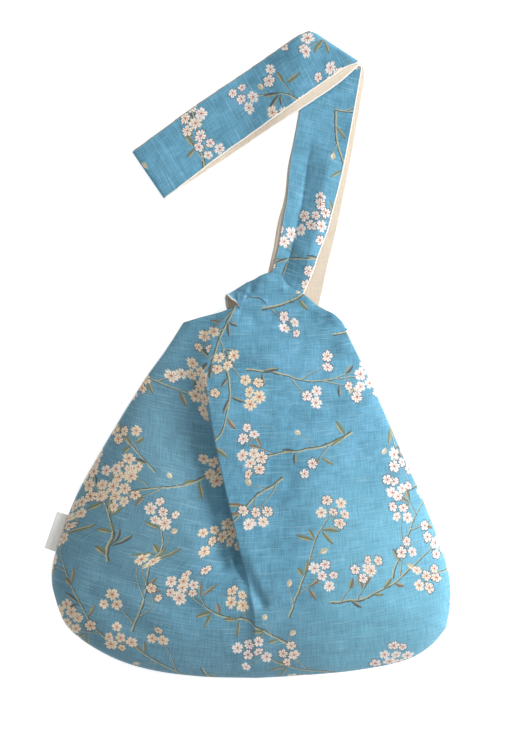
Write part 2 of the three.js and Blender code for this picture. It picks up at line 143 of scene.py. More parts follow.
# Creases and dents of the front in mm from the middle of the bottom seam: positive is a valley
WRINKLES = {
    "from_x": (-15, -20, -27, -60, -120, -110, -99, -9, -1, 36, -7, 2, 26, -1, -62, 30, 95, -75),
    "from_y": (104, 121, 116, 178, 65, 81, 28, 28, 17, 58, 273, 266, 265, 259, 205, 215, 150, 120),
    "to_x": (8, -14, -20, -28, -76, -39, -16, 126, 111, 134, 18, 26, 56, 59, -48, 80, 125, -50),
    "to_y": (58, 90, 86, 150, 35, 51, 13, 45, 21, 70, 272, 264, 271, 250, 120, 190, 60, 60),
    "depth": (3.6, -2.2, 1.8, 2.6, 2.6, 1.5, 1.1, 1.1, 1.1, 1.0, 2.0, 1.8, 2.2, 1.4, 1.4, 1.0, 1.0, 1.0),
    "width": (4.4, 3.6, 4.0, 26.0, 9.0, 8.0, 5.0, 4.0, 4.0, 5.0, 2.6, 3.2, 5.0, 8.0, 16.0, 20.0, 16.0, 14.0),
}

# Creases of the short handle over the knot, in mm as the front's are
BAND_CREASES = {
    "from_x": (1.7, -8.4, 14.0),
    "from_y": (298.0, 291.5, 303.0),
    "to_x": (-0.3, -2.6, 24.0),
    "to_y": (290.0, 285.5, 296.0),
    "depth": (1.8, 1.3, 0.9),
    "width": (2.0, 1.8, 2.4),
}

# Edges of the long handle, in shares of its width to the right of its middle line
FRONT_HALF = {
    "along": (-1.08, -0.93, -0.74, -0.49, 0.0, 0.17, 0.58, 1.0),
    "left": (-0.33, -0.33, -0.39, -0.49, -0.5, -0.46, -0.48, -0.52),
    "right": (0.32, 0.37, 0.43, 0.455, 0.455, 0.53, 0.5, 0.48),
}
BACK_HALF = {
    "along": (-1.18, -0.86, -0.49, -0.06, 0.09, 0.63, 1.0),
    "left": (-0.2, -0.33, -0.43, -0.45, -0.55, -0.56, -0.52),
    "right": (0.66, 0.58, 0.555, 0.54, 0.37, 0.4, 0.47),
}
LINING_PEEK = {
    "along": (-1.08, -0.86, -0.6, -0.45, 1.0),
    "share": (0.05, 0.085, 0.03, 0.012, 0.012),
}
# Where the short handle runs, and its upper and lower edge, in shares of the pouch's width and height
FRONT_LEG = {
    "across": (
        0.238, 0.229, 0.205, 0.171, 0.131, 0.095, 0.074, 0.048,
        0.028, 0.008, -0.011, -0.018, -0.026, -0.033, -0.04,
    ),
    "top": (
        0.868, 0.885, 0.908, 0.924, 0.956, 0.976, 1.0, 1.009,
        1.004, 0.993, 0.985, 0.981, 0.976, 0.972, 0.967,
    ),
    "bottom": (
        0.862, 0.875, 0.892, 0.9115, 0.9345, 0.952, 0.954, 0.949,
        0.947, 0.948, 0.948, 0.935, 0.92, 0.93, 0.94,
    ),
}
BAND_END = {"share": (0.0, 0.3, 0.5, 0.72, 1.0), "bottom": (0.94, 0.957, 0.948, 0.918, 0.924)}
BACK_LEG = {
    "across": (-0.04, 0.008, 0.074, 0.148, 0.23),
    "top": (0.967, 0.975, 0.967, 0.942, 0.888),
    "bottom": (0.926, 0.915, 0.912, 0.8955, 0.875),
}

# Label
LABEL_WIDTH = 8.0
LABEL_LENGTH = 29.0
LABEL_ALONG = 0.235
LABEL_WALL = 0.6
LABEL_CURL = 0.5

# Faces of the back, and materials of the pouch's wall from outside in
BACK_ROWS = 150
BACK_COLUMNS = 84
PRINTED_COTTON = "printed_slub_cotton"
CREAM_LINING = "cream_cotton_lining"
WHITE_TAPE = "white_woven_tape"
LINED_COTTON = [PRINTED_COTTON, CREAM_LINING]


def linear(colour):
    """An sRGB hex colour as linear RGBA."""
    channels = [int(colour[at:at + 2], 16) / 255 for at in (1, 3, 5)]
    return [c / 12.92 if c <= 0.04045 else ((c + 0.055) / 1.055) ** 2.4 for c in channels] + [1.0]


def smooth(value, low, high):
    share = np.clip((value - low) / (high - low), 0, 1)
    return share * share * (3 - 2 * share)


def mix(start, end, share):
    return start + (end - start) * share


def toward(turn):
    return np.array([math.cos(turn), math.sin(turn)])


def right_of(direction):
    return np.array([direction[1], -direction[0]])


def bell(distance, run):
    return np.exp(-((distance / run) ** 2))


def look_up(table, key, value, column):
    """Reads a table at any value of its key column, easing from row to row."""
    keys = np.array(table[key], float)
    values = np.array(table[column], float)
    row = np.clip(np.searchsorted(keys, value), 1, len(keys) - 1)
    return mix(values[row - 1], values[row], smooth(value, keys[row - 1], keys[row]))


def curve_through(knots, steps=40):
    """A smooth curve through points, as its points and the share of its length at each."""
    knots = np.asarray(knots, float)
    ends = np.vstack([2 * knots[0] - knots[1], knots, 2 * knots[-1] - knots[-2]])
    share = np.linspace(0, 1, steps, endpoint=False)[:, None]
    points = []
    for a, b, c, d in zip(ends, ends[1:], ends[2:], ends[3:]):
        before, span, after = (math.sqrt(np.linalg.norm(q - p)) for p, q in ((a, b), (b, c), (c, d)))
        leave = ((b - a) / before - (c - a) / (before + span) + (c - b) / span) * span
        arrive = ((c - b) / span - (d - b) / (span + after) + (d - c) / after) * span
        cubic = 2 * (b - c) + leave + arrive
        square = 3 * (c - b) - 2 * leave - arrive
        points.append(b + share * (leave + share * (square + share * cubic)))
    points = np.vstack([*points, knots[-1:]])
    length = np.append(0, np.cumsum(np.linalg.norm(np.diff(points, axis=0), axis=1)))
    return points, length / length[-1]


def outline(table):
    across = np.array(table["across"]) * POUCH_WIDTH
    return curve_through(np.column_stack([across, np.array(table["up"]) * POUCH_HEIGHT]))


def at(curve, share):
    points, shares = curve
    return np.stack([np.interp(share, shares, column) for column in points.T], axis=-1)


LEFT_CURVE = outline(LEFT_SIDE)
RIGHT_CURVE = outline(RIGHT_SIDE)
FOLD_CURVE = outline(FOLD_LINE)
BOTTOM_LEFT_CURVE = outline(BOTTOM_LEFT)
BOTTOM_RIGHT_CURVE = outline(BOTTOM_RIGHT)
SEAM_RUNS = [LEFT_CURVE, BOTTOM_LEFT_CURVE, BOTTOM_RIGHT_CURVE, RIGHT_CURVE]


def frame_shift():
    """From the bag's own middle and bottom seam to the frame, in mm."""
    low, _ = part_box("front_panel")
    start = np.vstack([points for points, _ in SEAM_RUNS]).min(axis=0)
    return np.array([low.x / MM - start[0], low.y / MM - start[1], 0.0])


SHIFT = frame_shift()


def patch(left, right, bottom, top, across, up):
    """Points between two side curves that follow a bottom and a top curve near their ends."""
    def bulge(curve):
        start, end = at(curve, np.array([0.0, 1.0]))
        return at(curve, across) - mix(start, end, across[..., None])

    sides = mix(at(left, up), at(right, up), across[..., None])
    low = bulge(bottom) * (1 - up[..., None]) ** 2.5
    return sides + low + bulge(top) * up[..., None] ** 3


def distance_to_line(x, y, start, end):
    run = np.asarray(end, float) - np.asarray(start, float)
    share = np.clip(((x - start[0]) * run[0] + (y - start[1]) * run[1]) / max(run @ run, 1e-9), 0, 1)
    return np.hypot(x - start[0] - share * run[0], y - start[1] - share * run[1])


def distance_to_seam(x, y):
    nearest = np.full(x.shape, np.inf)
    for curve in SEAM_RUNS:
        points = at(curve, np.linspace(0, 1, 61))
        for start, end in zip(points, points[1:]):
            nearest = np.minimum(nearest, distance_to_line(x, y, start, end))
    return nearest


def rounded(distance, run):
    return np.sqrt(1 - (1 - np.minimum(distance / run, 1)) ** 2)


def unevenness(x, y, size, seed):
    """Soft cloth waves of about the given length, between -1 and 1."""
    waves = random.Random(seed)
    total = np.zeros(np.shape(x))
    for _ in range(7):
        turn = waves.uniform(0, math.pi)
        pace = 2 * math.pi / (size * waves.uniform(0.7, 1.6))
        phase = waves.uniform(0, 2 * math.pi)
        bend = 1.4 * np.sin((y * math.cos(turn) - x * math.sin(turn)) * pace * 0.6 + phase)
        total += np.sin((x * math.cos(turn) + y * math.sin(turn)) * pace + phase + bend)
    return total / 7


def dents(table, x, y):
    """How deep a table's creases are at each point."""
    total = np.zeros(np.shape(y))
    for row in range(len(table["depth"])):
        start = (table["from_x"][row], table["from_y"][row])
        end = (table["to_x"][row], table["to_y"][row])
        total = total + table["depth"][row] * bell(distance_to_line(x, y, start, end), table["width"][row])
    return total


def front_height(x, y, up, from_fold):
    mouth = (MOUTH_HEIGHT - SEAM_HEIGHT) / CROWN
    share = mix(1.0, mouth, smooth(up, 0.5, 1))
    depth = look_up(FOLD_DROPS, "along", up, "depth")
    drop = depth * (1 - bell(from_fold, look_up(FOLD_DROPS, "along", up, "lap")))
    drop *= bell(from_fold, look_up(FOLD_DROPS, "along", up, "run"))
    share = share - np.where(from_fold < 0, drop, 0)
    share = share + LAP_RIDGE * smooth(depth, 0, LAP_RIDGE) * bell(from_fold, LAP_RIDGE_RUN)
    slope = context_pouch().side_slope * smooth(up, 0.05, 0.3) * (1 - smooth(up, 0.6, 0.95))
    share = share - slope * np.clip(np.abs(from_fold) / 130, 0, 1) ** 1.3
    wrinkle = context_pouch().wrinkles
    height = CROWN * share - wrinkle * dents(WRINKLES, x, y)
    height = height + wrinkle * (0.7 * unevenness(x, y, 46, 3) + 0.3 * unevenness(x, y, 17, 8))
    return SEAM_HEIGHT + GAP / 8 + height * rounded(distance_to_seam(x, y), CROWN_RUN)


def back_height(x, y, up, from_middle):
    return (SEAM_HEIGHT - GAP / 8) * (1 - rounded(distance_to_seam(x, y), BACK_ROLL))


def panel_points(middle, top_left, top_right, counts, height_at):
    """A panel's points in rows up the bag, and how far up and from the fold each lies."""
    rows, left, right = counts
    ease = np.linspace(0, 1, rows + 1)
    up = mix(ease, 1 - np.cos(ease * math.pi / 2), 0.5)[:, None]
    halves = []
    for start, end, bottom, top, count, last in (
        (LEFT_CURVE, middle, BOTTOM_LEFT_CURVE, outline(top_left), left, False),
        (middle, RIGHT_CURVE, BOTTOM_RIGHT_CURVE, outline(top_right), right, True),
    ):
        share = np.linspace(0, 1, count + 1)[None, :] if last else np.linspace(0, 1, count + 1)[None, :-1]
        share = mix(share, (1 - np.cos(share * math.pi)) / 2, 0.55)
        across, heights = np.broadcast_arrays(share, up)
        halves.append(patch(start, end, bottom, top, across, heights))
    flat = np.concatenate(halves, axis=1)
    from_fold = flat[..., 0] - at(middle, up[:, 0])[:, None, 0]
    up = np.broadcast_to(up, from_fold.shape)
    height = height_at(flat[..., 0], flat[..., 1], up, from_fold)
    return np.dstack([flat, height]), up, from_fold


def cloth_of_panel(points, fold_column):
    """Where each point of a panel lies on its flat cloth: sideways from the fold and up from the seam."""
    step = np.diff(points, axis=1)
    sideways = np.cumsum(np.hypot(step[..., 0], step[..., 2]), axis=1)
    sideways = np.concatenate([np.zeros((len(points), 1)), sideways], axis=1)
    sideways += (points[:, fold_column, 0] - sideways[:, fold_column])[:, None]
    step = np.diff(points, axis=0)
    upward = np.cumsum(np.sign(step[..., 1]) * np.hypot(step[..., 1], step[..., 2]), axis=0)
    upward = np.concatenate([np.zeros((1, points.shape[1])), upward], axis=0)
    upward += points[-1, :, 1] - upward[-1]
    return np.dstack([sideways, upward])


def cloth_of_strip(points):
    """The same for a strip in rows along it: across from its left edge and along it."""
    across = np.linalg.norm(np.diff(points, axis=1), axis=2)
    across = np.concatenate([np.zeros((len(points), 1)), np.cumsum(across, axis=1)], axis=1)
    along = np.linalg.norm(np.diff(points, axis=0), axis=2)
    along = np.concatenate([np.zeros((1, points.shape[1])), np.cumsum(along, axis=0)], axis=0)
    return np.dstack([across, along])


# Where the long handle is cut from the cloth, in mm, clear of the ground's greyer parts, which are painted
# shade
STRAP_START = 200.0
STRAP_SPACING = 74.0
SEAM_STITCH = 0.75
LEFT_EDGE_WHITE = 0.2
# Slope of the weave for each mm from the middle
GRAIN_LEAN_LEFT = 0.003
GRAIN_LEAN_RIGHT = 0.002

# Kinds of leaf below BUD are leaves, and kinds of blossom from LINED up have a dark line
BUD = 3
LINED = 3
PETALS = 5
# A motif's kind is added to its coordinates in steps, and a face outside all motifs lies far from any
KIND_STEP = 8.0
NO_MOTIF = 50.0
# Least and most, in mm
BRANCH_LENGTH = (55, 95)
BRANCH_WIDTH = (1.8, 2.7)
TWIG_LENGTH = (10, 24)
BUD_STALK = (6, 14)
BUD_LENGTH = (5.5, 8)
BUD_WIDTH = (3.6, 4.8)
LEAF_LENGTH = (8, 16)
LEAF_WIDTH = (2.6, 4.4)
TWIG_WIDTH = 1.3
STALK_WIDTH = 0.9
FINE_STALK_WIDTH = 0.8
# Shares of the blossoms' own radius
BLOSSOM_SIZES = (0.78, 1.14)
BLOSSOM_SQUASH = (0.74, 1.0)
BLOSSOM_APART = (1.5, 1.85)
BLOSSOM_CLEAR = 0.84
BUNCH_REACH = 1.3


def at_corners(mesh, values):
    """What each corner of a mesh's faces has, from what its vertices have."""
    corners = np.empty(len(mesh.loops), np.int32)
    mesh.loops.foreach_get("vertex_index", corners)
    return values.reshape(-1, 2)[corners.reshape(-1, 4)]


def lay_maps(mesh, maps):
    for name, places in maps.items():
        layer = mesh.uv_layers.new(name=name)
        layer.uv.foreach_set("vector", places.astype(np.float32).ravel())


class Print:
    """Blossom sprays scattered over a piece of cloth."""

    def __init__(self, low, high, settings, seed, spacing=None):
        self.dice = random.Random(seed)
        self.radius = settings.blossom_size / MM / 2
        self.blossoms = []
        self.leaves = []
        self.stems = []
        spacing = spacing or settings.spray_spacing / MM
        column = 0
        x = low[0] + self.dice.uniform(0, spacing / 2)
        while x < high[0] + spacing / 2:
            # Every other column starts half a step higher
            y = low[1] + (column % 2 - 1) * spacing / 2
            while y < high[1] + spacing / 2:
                place = np.array([x, y]) + [self.dice.uniform(-0.2, 0.2) * spacing for _ in "xy"]
                self.spray(place, self.dice.uniform(0, 2 * math.pi))
                y += spacing
            x += spacing * 0.8
            column += 1

    def leaf(self, start, turn, length, width, kind):
        spine = [tuple(start + share * length * toward(turn)) for share in (0.3, 0.6, 0.9)]
        for other in self.leaves:
            apart = width / 2 + other["size"][1]
            if any(math.dist(a, b) < apart for a in spine for b in other["spine"]):
                return
        middle = start + 0.5 * length * toward(turn)
        size = (length / 2, width / 2)
        self.leaves.append({"place": middle, "turn": turn, "size": size, "kind": kind, "spine": spine})

    def blossom(self, place, radius, kind):
        for layer in (0, 1):
            others = [b for b in self.blossoms if b["layer"] == layer]
            if all(math.dist(place, b["place"]) > BLOSSOM_CLEAR * (radius + b["size"][0]) for b in others):
                turn = self.dice.uniform(0, 2 * math.pi)
                size = (radius, radius * self.dice.uniform(*BLOSSOM_SQUASH))
                blossom = {"place": place, "turn": turn, "size": size, "kind": kind, "layer": layer}
                self.blossoms.append(blossom)
                return

    def stem(self, start, turn, length, width, bend):
        """A bending twig of short runs. Gives back its points and the turn at its end."""
        points = [start]
        count = max(3, int(length / 3))
        for step in range(count):
            turn += bend / count + self.dice.uniform(-0.13, 0.13)
            points.append(points[-1] + length / count * toward(turn))
        self.stems.append({"points": points, "width": width})
        return points, turn

    def bunch(self, origin, turn, count):
        """Blossoms close together round a twig's end, paler and often lined on the right of the cloth."""
        dice = self.dice
        on_right = origin[0] > 0
        tones = (0, 0, 0, 1) if on_right else (1, 2, 2, 2)
        tone = dice.choice(tones)
        middle = origin + BUNCH_REACH * self.radius * toward(turn)
        start = dice.uniform(0, 2 * math.pi)
        for index in range(count):
            ring = (index + 5) // 6
            angle = start + index * math.pi / 3 + 0.5 * ring + dice.uniform(-0.2, 0.2)
            centre = middle + ring * self.radius * dice.uniform(*BLOSSOM_APART) * toward(angle)
            if ring:
                stalk = [origin, (origin + centre) / 2, centre]
                self.stems.append({"points": stalk, "width": FINE_STALK_WIDTH})
            lined = dice.random() < (0.55 if on_right else 0.2)
            self.blossom(centre, self.radius * dice.uniform(*BLOSSOM_SIZES), tone + LINED * lined)

    def buds(self, place, turn):
        dice = self.dice
        points, turn = self.stem(place, turn, dice.uniform(*BUD_STALK), STALK_WIDTH, dice.uniform(-0.5, 0.5))
        for fan in (-0.8, 0.0, 0.8) if dice.random() < 0.5 else (0.0,):
            self.leaf(points[-1], turn + fan, dice.uniform(*BUD_LENGTH), dice.uniform(*BUD_WIDTH), BUD)

    def tuft(self, place, turn):
        kind = self.dice.choice((0, 0, 1, 2))
        for fan in self.dice.choice(((-0.8, 0.0, 0.8), (-0.45, 0.45), (0.0, 0.8))):
            length = self.dice.uniform(*LEAF_LENGTH)
            width = self.dice.uniform(*LEAF_WIDTH)
            self.leaf(place + 0.5 * toward(turn + fan), turn + fan, length, width, kind)

    def spray(self, place, turn):
        """A branch with twigs to both sides that end in blossoms, buds or leaves."""
        dice = self.dice
        length = dice.uniform(*BRANCH_LENGTH)
        start = place - length / 2 * toward(turn)
        width = dice.uniform(*BRANCH_WIDTH)
        points, end_turn = self.stem(start, turn, length, width, dice.uniform(-0.9, 0.9))
        self.bunch(points[-1], end_turn, dice.randint(5, 9))
        side = dice.choice((-1, 1))
        node = dice.randint(1, 3)
        while node < len(points) - 2:
            run = points[node + 1] - points[node]
            leaning = math.atan2(run[1], run[0]) + side * dice.uniform(0.5, 1.0)
            ending = dice.random()
            if ending < 0.38:
                reach = dice.uniform(*TWIG_LENGTH)
                twig, turn = self.stem(points[node], leaning, reach, TWIG_WIDTH, -side * dice.random() / 2)
                self.bunch(twig[-1], turn, dice.randint(2, 5))
                if dice.random() < 0.5:
                    self.tuft(twig[len(twig) // 2], leaning + side * 0.7)
            elif ending < 0.6:
                self.buds(points[node], leaning)
            else:
                self.tuft(points[node], leaning)
            side = -side
            node += dice.randint(2, 5)

    def lay(self, mesh, cloth, edge, weave=None):
        """Gives every face its place on the cloth, at its edge and in the nearest motif, as UV maps."""
        flat = at_corners(mesh, cloth)
        middle = flat.mean(axis=1)
        spread = np.linalg.norm(flat - middle[:, None], axis=2).max(axis=1)
        maps = {name: np.full(flat.shape, NO_MOTIF) for name in ("blossom", "blossom_over", "leaf", "stem")}
        for name, motifs in (
            ("blossom", [b for b in self.blossoms if b["layer"] == 0]),
            ("blossom_over", [b for b in self.blossoms if b["layer"] == 1]),
            ("leaf", self.leaves),
        ):
            nearest = np.full(len(middle), np.inf)
            for motif in motifs:
                self.place_motif(maps[name], flat, middle, spread, nearest, motif)
        nearest = np.full(len(middle), np.inf)
        for stem in self.stems:
            self.place_stem(maps["stem"], flat, middle, spread, nearest, stem)
        maps["cloth"] = flat
        maps["weave"] = flat if weave is None else at_corners(mesh, weave)
        maps["edge"] = at_corners(mesh, edge)
        lay_maps(mesh, maps)

    def place_motif(self, target, flat, middle, spread, nearest, motif):
        reach = max(motif["size"]) * 1.15
        near = np.flatnonzero(np.hypot(*(middle - motif["place"]).T) < reach + spread)
        offset = flat[near] - motif["place"]
        cos, sin = toward(motif["turn"])
        along = (offset[..., 0] * cos + offset[..., 1] * sin) / motif["size"][0]
        beside = (offset[..., 1] * cos - offset[..., 0] * sin) / motif["size"][1]
        depth = along.mean(axis=1) ** 2 + np.abs(beside.mean(axis=1)) ** (1 if "spine" in motif else 2)
        closer = depth < nearest[near]
        near = near[closer]
        nearest[near] = depth[closer]
        local = np.stack([along + KIND_STEP * motif["kind"], beside], axis=-1)
        target[near] = local[closer]

    def place_stem(self, target, flat, middle, spread, nearest, stem):
        count = len(stem["points"]) - 1
        run_so_far = 0.0
        for index, (start, end) in enumerate(zip(stem["points"], stem["points"][1:])):
            run = end - start
            length = math.hypot(*run)
            half = stem["width"] / 2 * (1 - 0.5 * (index + 0.5) / count)
            distance = distance_to_line(middle[:, 0], middle[:, 1], start, end)
            near = (distance < half + spread) & (distance < nearest)
            if near.any():
                nearest[near] = distance[near]
                offset = flat[near] - start
                along = offset @ run / length + run_so_far
                beside = (offset[..., 1] * run[0] - offset[..., 0] * run[1]) / length / half
                target[near] = np.stack([beside, along], axis=-1)
            run_so_far += length


def front_print(context):
    looks = context.scene.knot_bag_print
    return Print((-190, -20), (190, 320), looks, looks.seed)


def grain_of_front(cloth):
    """Where each point lies in the weave, which leans towards the knot on both sides."""
    x, y = cloth[..., 0], cloth[..., 1]
    lean = np.where(x < 0, GRAIN_LEAN_LEFT, GRAIN_LEAN_RIGHT) * x
    return np.dstack([x + lean * (y - POUCH_HEIGHT / 2) / 2, y - lean * x / 2])


def edge_of_strip(cloth):
    """For each point of a strip, how far it is from the nearer long edge, and how much white shows there."""
    from_right = cloth[:, -1:, 0] - cloth[..., 0]
    strength = np.where(cloth[..., 0] < from_right, LEFT_EDGE_WHITE, 1.0)
    return np.dstack([np.minimum(cloth[..., 0], from_right), strength])


def edge_of_panel(points):
    distance = distance_to_seam(points[..., 0], points[..., 1])
    return np.dstack([distance, np.full(distance.shape, SEAM_WEAR)])


def add(tree, kind, settings, *links, **named):
    """Adds a shader node with its settings and its inputs, each a value, a node or a socket."""
    node = tree.nodes.new("ShaderNode" + kind)
    for key, value in settings.items():
        setattr(node, key, value)
    pairs = list(zip([socket for socket in node.inputs if socket.enabled], links))
    pairs += [(node.inputs[key.replace("_", " ")], value) for key, value in named.items()]
    for socket, value in pairs:
        if isinstance(value, bpy.types.Node):
            value = next(output for output in value.outputs if output.enabled)
        if isinstance(value, bpy.types.NodeSocket):
            tree.links.new(value, socket)
        else:
            socket.default_value = value
    return node


# Node settings that are used again and again
ADD = {"operation": "ADD"}
SUBTRACT = {"operation": "SUBTRACT"}
MULTIPLY = {"operation": "MULTIPLY"}
MULTIPLY_ADD = {"operation": "MULTIPLY_ADD"}
MAXIMUM = {"operation": "MAXIMUM"}
ABSOLUTE = {"operation": "ABSOLUTE"}
SOFT = {"interpolation_type": "SMOOTHSTEP"}
COLOURS = {"data_type": "RGBA"}

# Colours of the print
PETAL = linear("#efe6df")
PETAL_WARM = linear("#ead9bd")
PETAL_SHADE = linear("#7f8a86")
HEART = linear("#a85848")
OUTLINE = linear("#2f3a52")
LEAF = linear("#7d8462")
LEAF_DARK = linear("#4a5660")
LEAF_BROWN = linear("#8a7257")
LEAF_LIGHT = linear("#b3b08c")
STEM_DARK = linear("#4f5448")
STEM_LIGHT = linear("#b9b795")
SLUB = linear("#a9d3e2")
WHITE_EDGE = linear("#f1ece2")
# The real threads lie 0.4 mm apart, too fine to show, so they are drawn this wide
DRAWN_THREAD = 0.9


def new_material(name):
    material = bpy.data.materials.new(name)
    material.use_nodes = True
    material.node_tree.nodes.clear()
    return material, material.node_tree


def finish_material(tree, colour, height, roughness, sheen, bump):
    """Dyed cotton scatters light softly, with a little fuzz at grazing angles."""
    relief = add(tree, "Bump", {}, Strength=bump, Distance=0.3 * MM, Height=height)
    cloth = add(
        tree, "BsdfPrincipled", {}, Base_Color=colour, Normal=relief, Roughness=roughness,
        Sheen_Weight=sheen, Sheen_Roughness=0.6, Specular_IOR_Level=0.25
    )
    add(tree, "OutputMaterial", {}, cloth)


def weave(tree, cloth, thread, slub):
    """Threads both ways and the thicker slubs in them, from cloth places in mm."""
    warp = add(tree, "Mapping", {}, cloth, Scale=(1 / thread, 1 / (thread * 14), 1))
    weft = add(tree, "Mapping", {}, cloth, Scale=(1 / (thread * 18), 1 / thread, 1))
    ways = [add(tree, "TexNoise", {}, spot, Scale=1.0, Detail=1.5, Roughness=0.6) for spot in (warp, weft)]
    spot = add(tree, "Mapping", {}, cloth, Scale=(1 / slub, 1 / (thread * 1.3), 1))
    noise = add(tree, "TexNoise", {}, spot, Scale=1.0, Detail=0.0)
    return add(tree, "Math", ADD, *ways), add(tree, "MapRange", SOFT, noise, 0.66, 0.74)


def motif_spot(tree, map_name, wobble):
    """A motif's own coordinates, a little shaken: along it, beside it, and its kind."""
    spot = add(tree, "VectorMath", ADD, add(tree, "UVMap", {"uv_map": map_name}), wobble)
    parts = add(tree, "SeparateXYZ", {}, spot)
    kind = add(tree, "Math", MULTIPLY, parts, 1 / KIND_STEP)
    kind = add(tree, "Math", {"operation": "ROUND"}, kind)
    return add(tree, "Math", MULTIPLY_ADD, kind, -KIND_STEP, parts), parts.outputs[1], kind


def blossom_layer(tree, colour, map_name, wobble):
    """One layer of blossoms over a colour: five notched petals round a red heart, some with a dark line."""
    x, y, kind = motif_spot(tree, map_name, wobble)
    radius = add(tree, "VectorMath", {"operation": "LENGTH"}, add(tree, "CombineXYZ", {}, x, y, 0.0))
    angle = add(tree, "Math", {"operation": "ARCTAN2"}, y, x)
    wave = add(tree, "Math", {"operation": "COSINE"}, add(tree, "Math", MULTIPLY, angle, PETALS / 2))
    petal = add(tree, "Math", ABSOLUTE, wave)
    rim = add(tree, "Math", {"operation": "POWER"}, petal, 0.45)
    rim = add(tree, "Math", MULTIPLY_ADD, rim, 0.72, 0.32)
    notch = add(tree, "MapRange", SOFT, petal, 0.94, 1.0, 0.0, 0.2)
    rim = add(tree, "Math", SUBTRACT, rim, notch)
    inside = add(tree, "Math", SUBTRACT, rim, radius)
    mask = add(tree, "MapRange", SOFT, inside, -0.02, 0.06)
    tone = add(tree, "Math", {"operation": "MODULO"}, kind, float(LINED))
    tone = add(tree, "MapRange", {}, tone, 0.0, 2.0)
    petals = add(tree, "Mix", COLOURS, tone, PETAL, PETAL_WARM)
    gap = add(tree, "MapRange", SOFT, petal, 0.34, 0.1, 0.0, 0.75)
    shaded = add(tree, "Mix", COLOURS, gap, petals, PETAL_SHADE)
    ray = add(tree, "MapRange", SOFT, petal, 0.86, 0.97)
    reach = add(tree, "MapRange", SOFT, radius, 0.72, 0.34, 0.0, 0.75)
    stroke = add(tree, "Math", MULTIPLY, ray, reach)
    heart = add(tree, "MapRange", SOFT, radius, 0.24, 0.12, 0.0, 0.9)
    stroke = add(tree, "Math", MAXIMUM, stroke, heart)
    red = add(tree, "Mix", COLOURS, stroke, shaded, HEART)
    lined = add(tree, "Math", {"operation": "GREATER_THAN"}, kind, LINED - 0.5)
    strength = add(tree, "MapRange", {}, lined, 0.0, 1.0, 0.2, 0.95)
    edge = add(tree, "MapRange", SOFT, inside, 0.24, 0.09)
    edge = add(tree, "Math", MULTIPLY, edge, strength)
    drawn = add(tree, "Mix", COLOURS, edge, red, OUTLINE)
    return add(tree, "Mix", COLOURS, mask, colour, drawn)


def leaf_layer(tree, colour, wobble):
    """Pointed leaves with a midrib in three tones, and cream buds of the same outline."""
    x, y, kind = motif_spot(tree, "leaf", wobble)
    rim = add(tree, "Math", SUBTRACT, 1.0, add(tree, "Math", MULTIPLY, x, x))
    beside = add(tree, "Math", ABSOLUTE, y)
    inside = add(tree, "Math", SUBTRACT, rim, beside)
    mask = add(tree, "MapRange", SOFT, inside, 0.0, 0.2, 0.0, 0.92)
    tones = add(tree, "ValToRGB", {}, add(tree, "MapRange", {}, kind, -0.5, BUD + 0.5))
    ramp = tones.color_ramp
    ramp.interpolation = "CONSTANT"
    for place, shade in ((0.25, LEAF_DARK), (0.5, LEAF_BROWN), (0.75, PETAL_WARM)):
        ramp.elements.new(place).color = shade
    ramp.elements[0].color = LEAF
    ramp.elements[-1].color = PETAL_WARM
    half = add(tree, "MapRange", SOFT, y, -0.1, 0.15, 0.0, 0.7)
    light = add(tree, "Mix", COLOURS, half, tones, LEAF_LIGHT)
    rib = add(tree, "MapRange", SOFT, beside, 0.3, 0.1, 0.0, 0.75)
    edge = add(tree, "MapRange", SOFT, inside, 0.32, 0.1, 0.0, 0.5)
    rib = add(tree, "Math", MAXIMUM, rib, edge)
    is_leaf = add(tree, "MapRange", {}, kind, BUD - 0.6, BUD - 0.4, 1.0, 0.45)
    rib = add(tree, "Math", MULTIPLY, rib, is_leaf)
    ribbed = add(tree, "Mix", COLOURS, rib, light, STEM_DARK)
    return add(tree, "Mix", COLOURS, mask, colour, ribbed)


def stem_layer(tree, colour):
    """Thin twigs, dark on one side and light on the other, drawn with a dry brush."""
    spot = add(tree, "UVMap", {"uv_map": "stem"})
    beside = add(tree, "SeparateXYZ", {}, spot)
    dry = add(tree, "TexNoise", {}, spot, Scale=0.35, Detail=1.0)
    reach = add(tree, "MapRange", {}, dry, 0.3, 0.7, 0.55, 1.25)
    inside = add(tree, "Math", SUBTRACT, reach, add(tree, "Math", ABSOLUTE, beside))
    mask = add(tree, "MapRange", SOFT, inside, -0.25, 0.25, 0.0, 0.92)
    side = add(tree, "MapRange", SOFT, beside, -0.4, 0.5)
    tone = add(tree, "Mix", COLOURS, side, STEM_DARK, STEM_LIGHT)
    return add(tree, "Mix", COLOURS, mask, colour, tone)


def white_edge(tree, colour):
    """The lining rolls out a little at the handles' edges, as a white line just under a millimetre wide."""
    edge = add(tree, "SeparateXYZ", {}, add(tree, "UVMap", {"uv_map": "edge"}))
    line = add(tree, "MapRange", SOFT, edge, 1.0, 0.5)
    share = add(tree, "Math", MULTIPLY, line, edge.outputs[1])
    return add(tree, "Mix", COLOURS, share, colour, WHITE_EDGE)


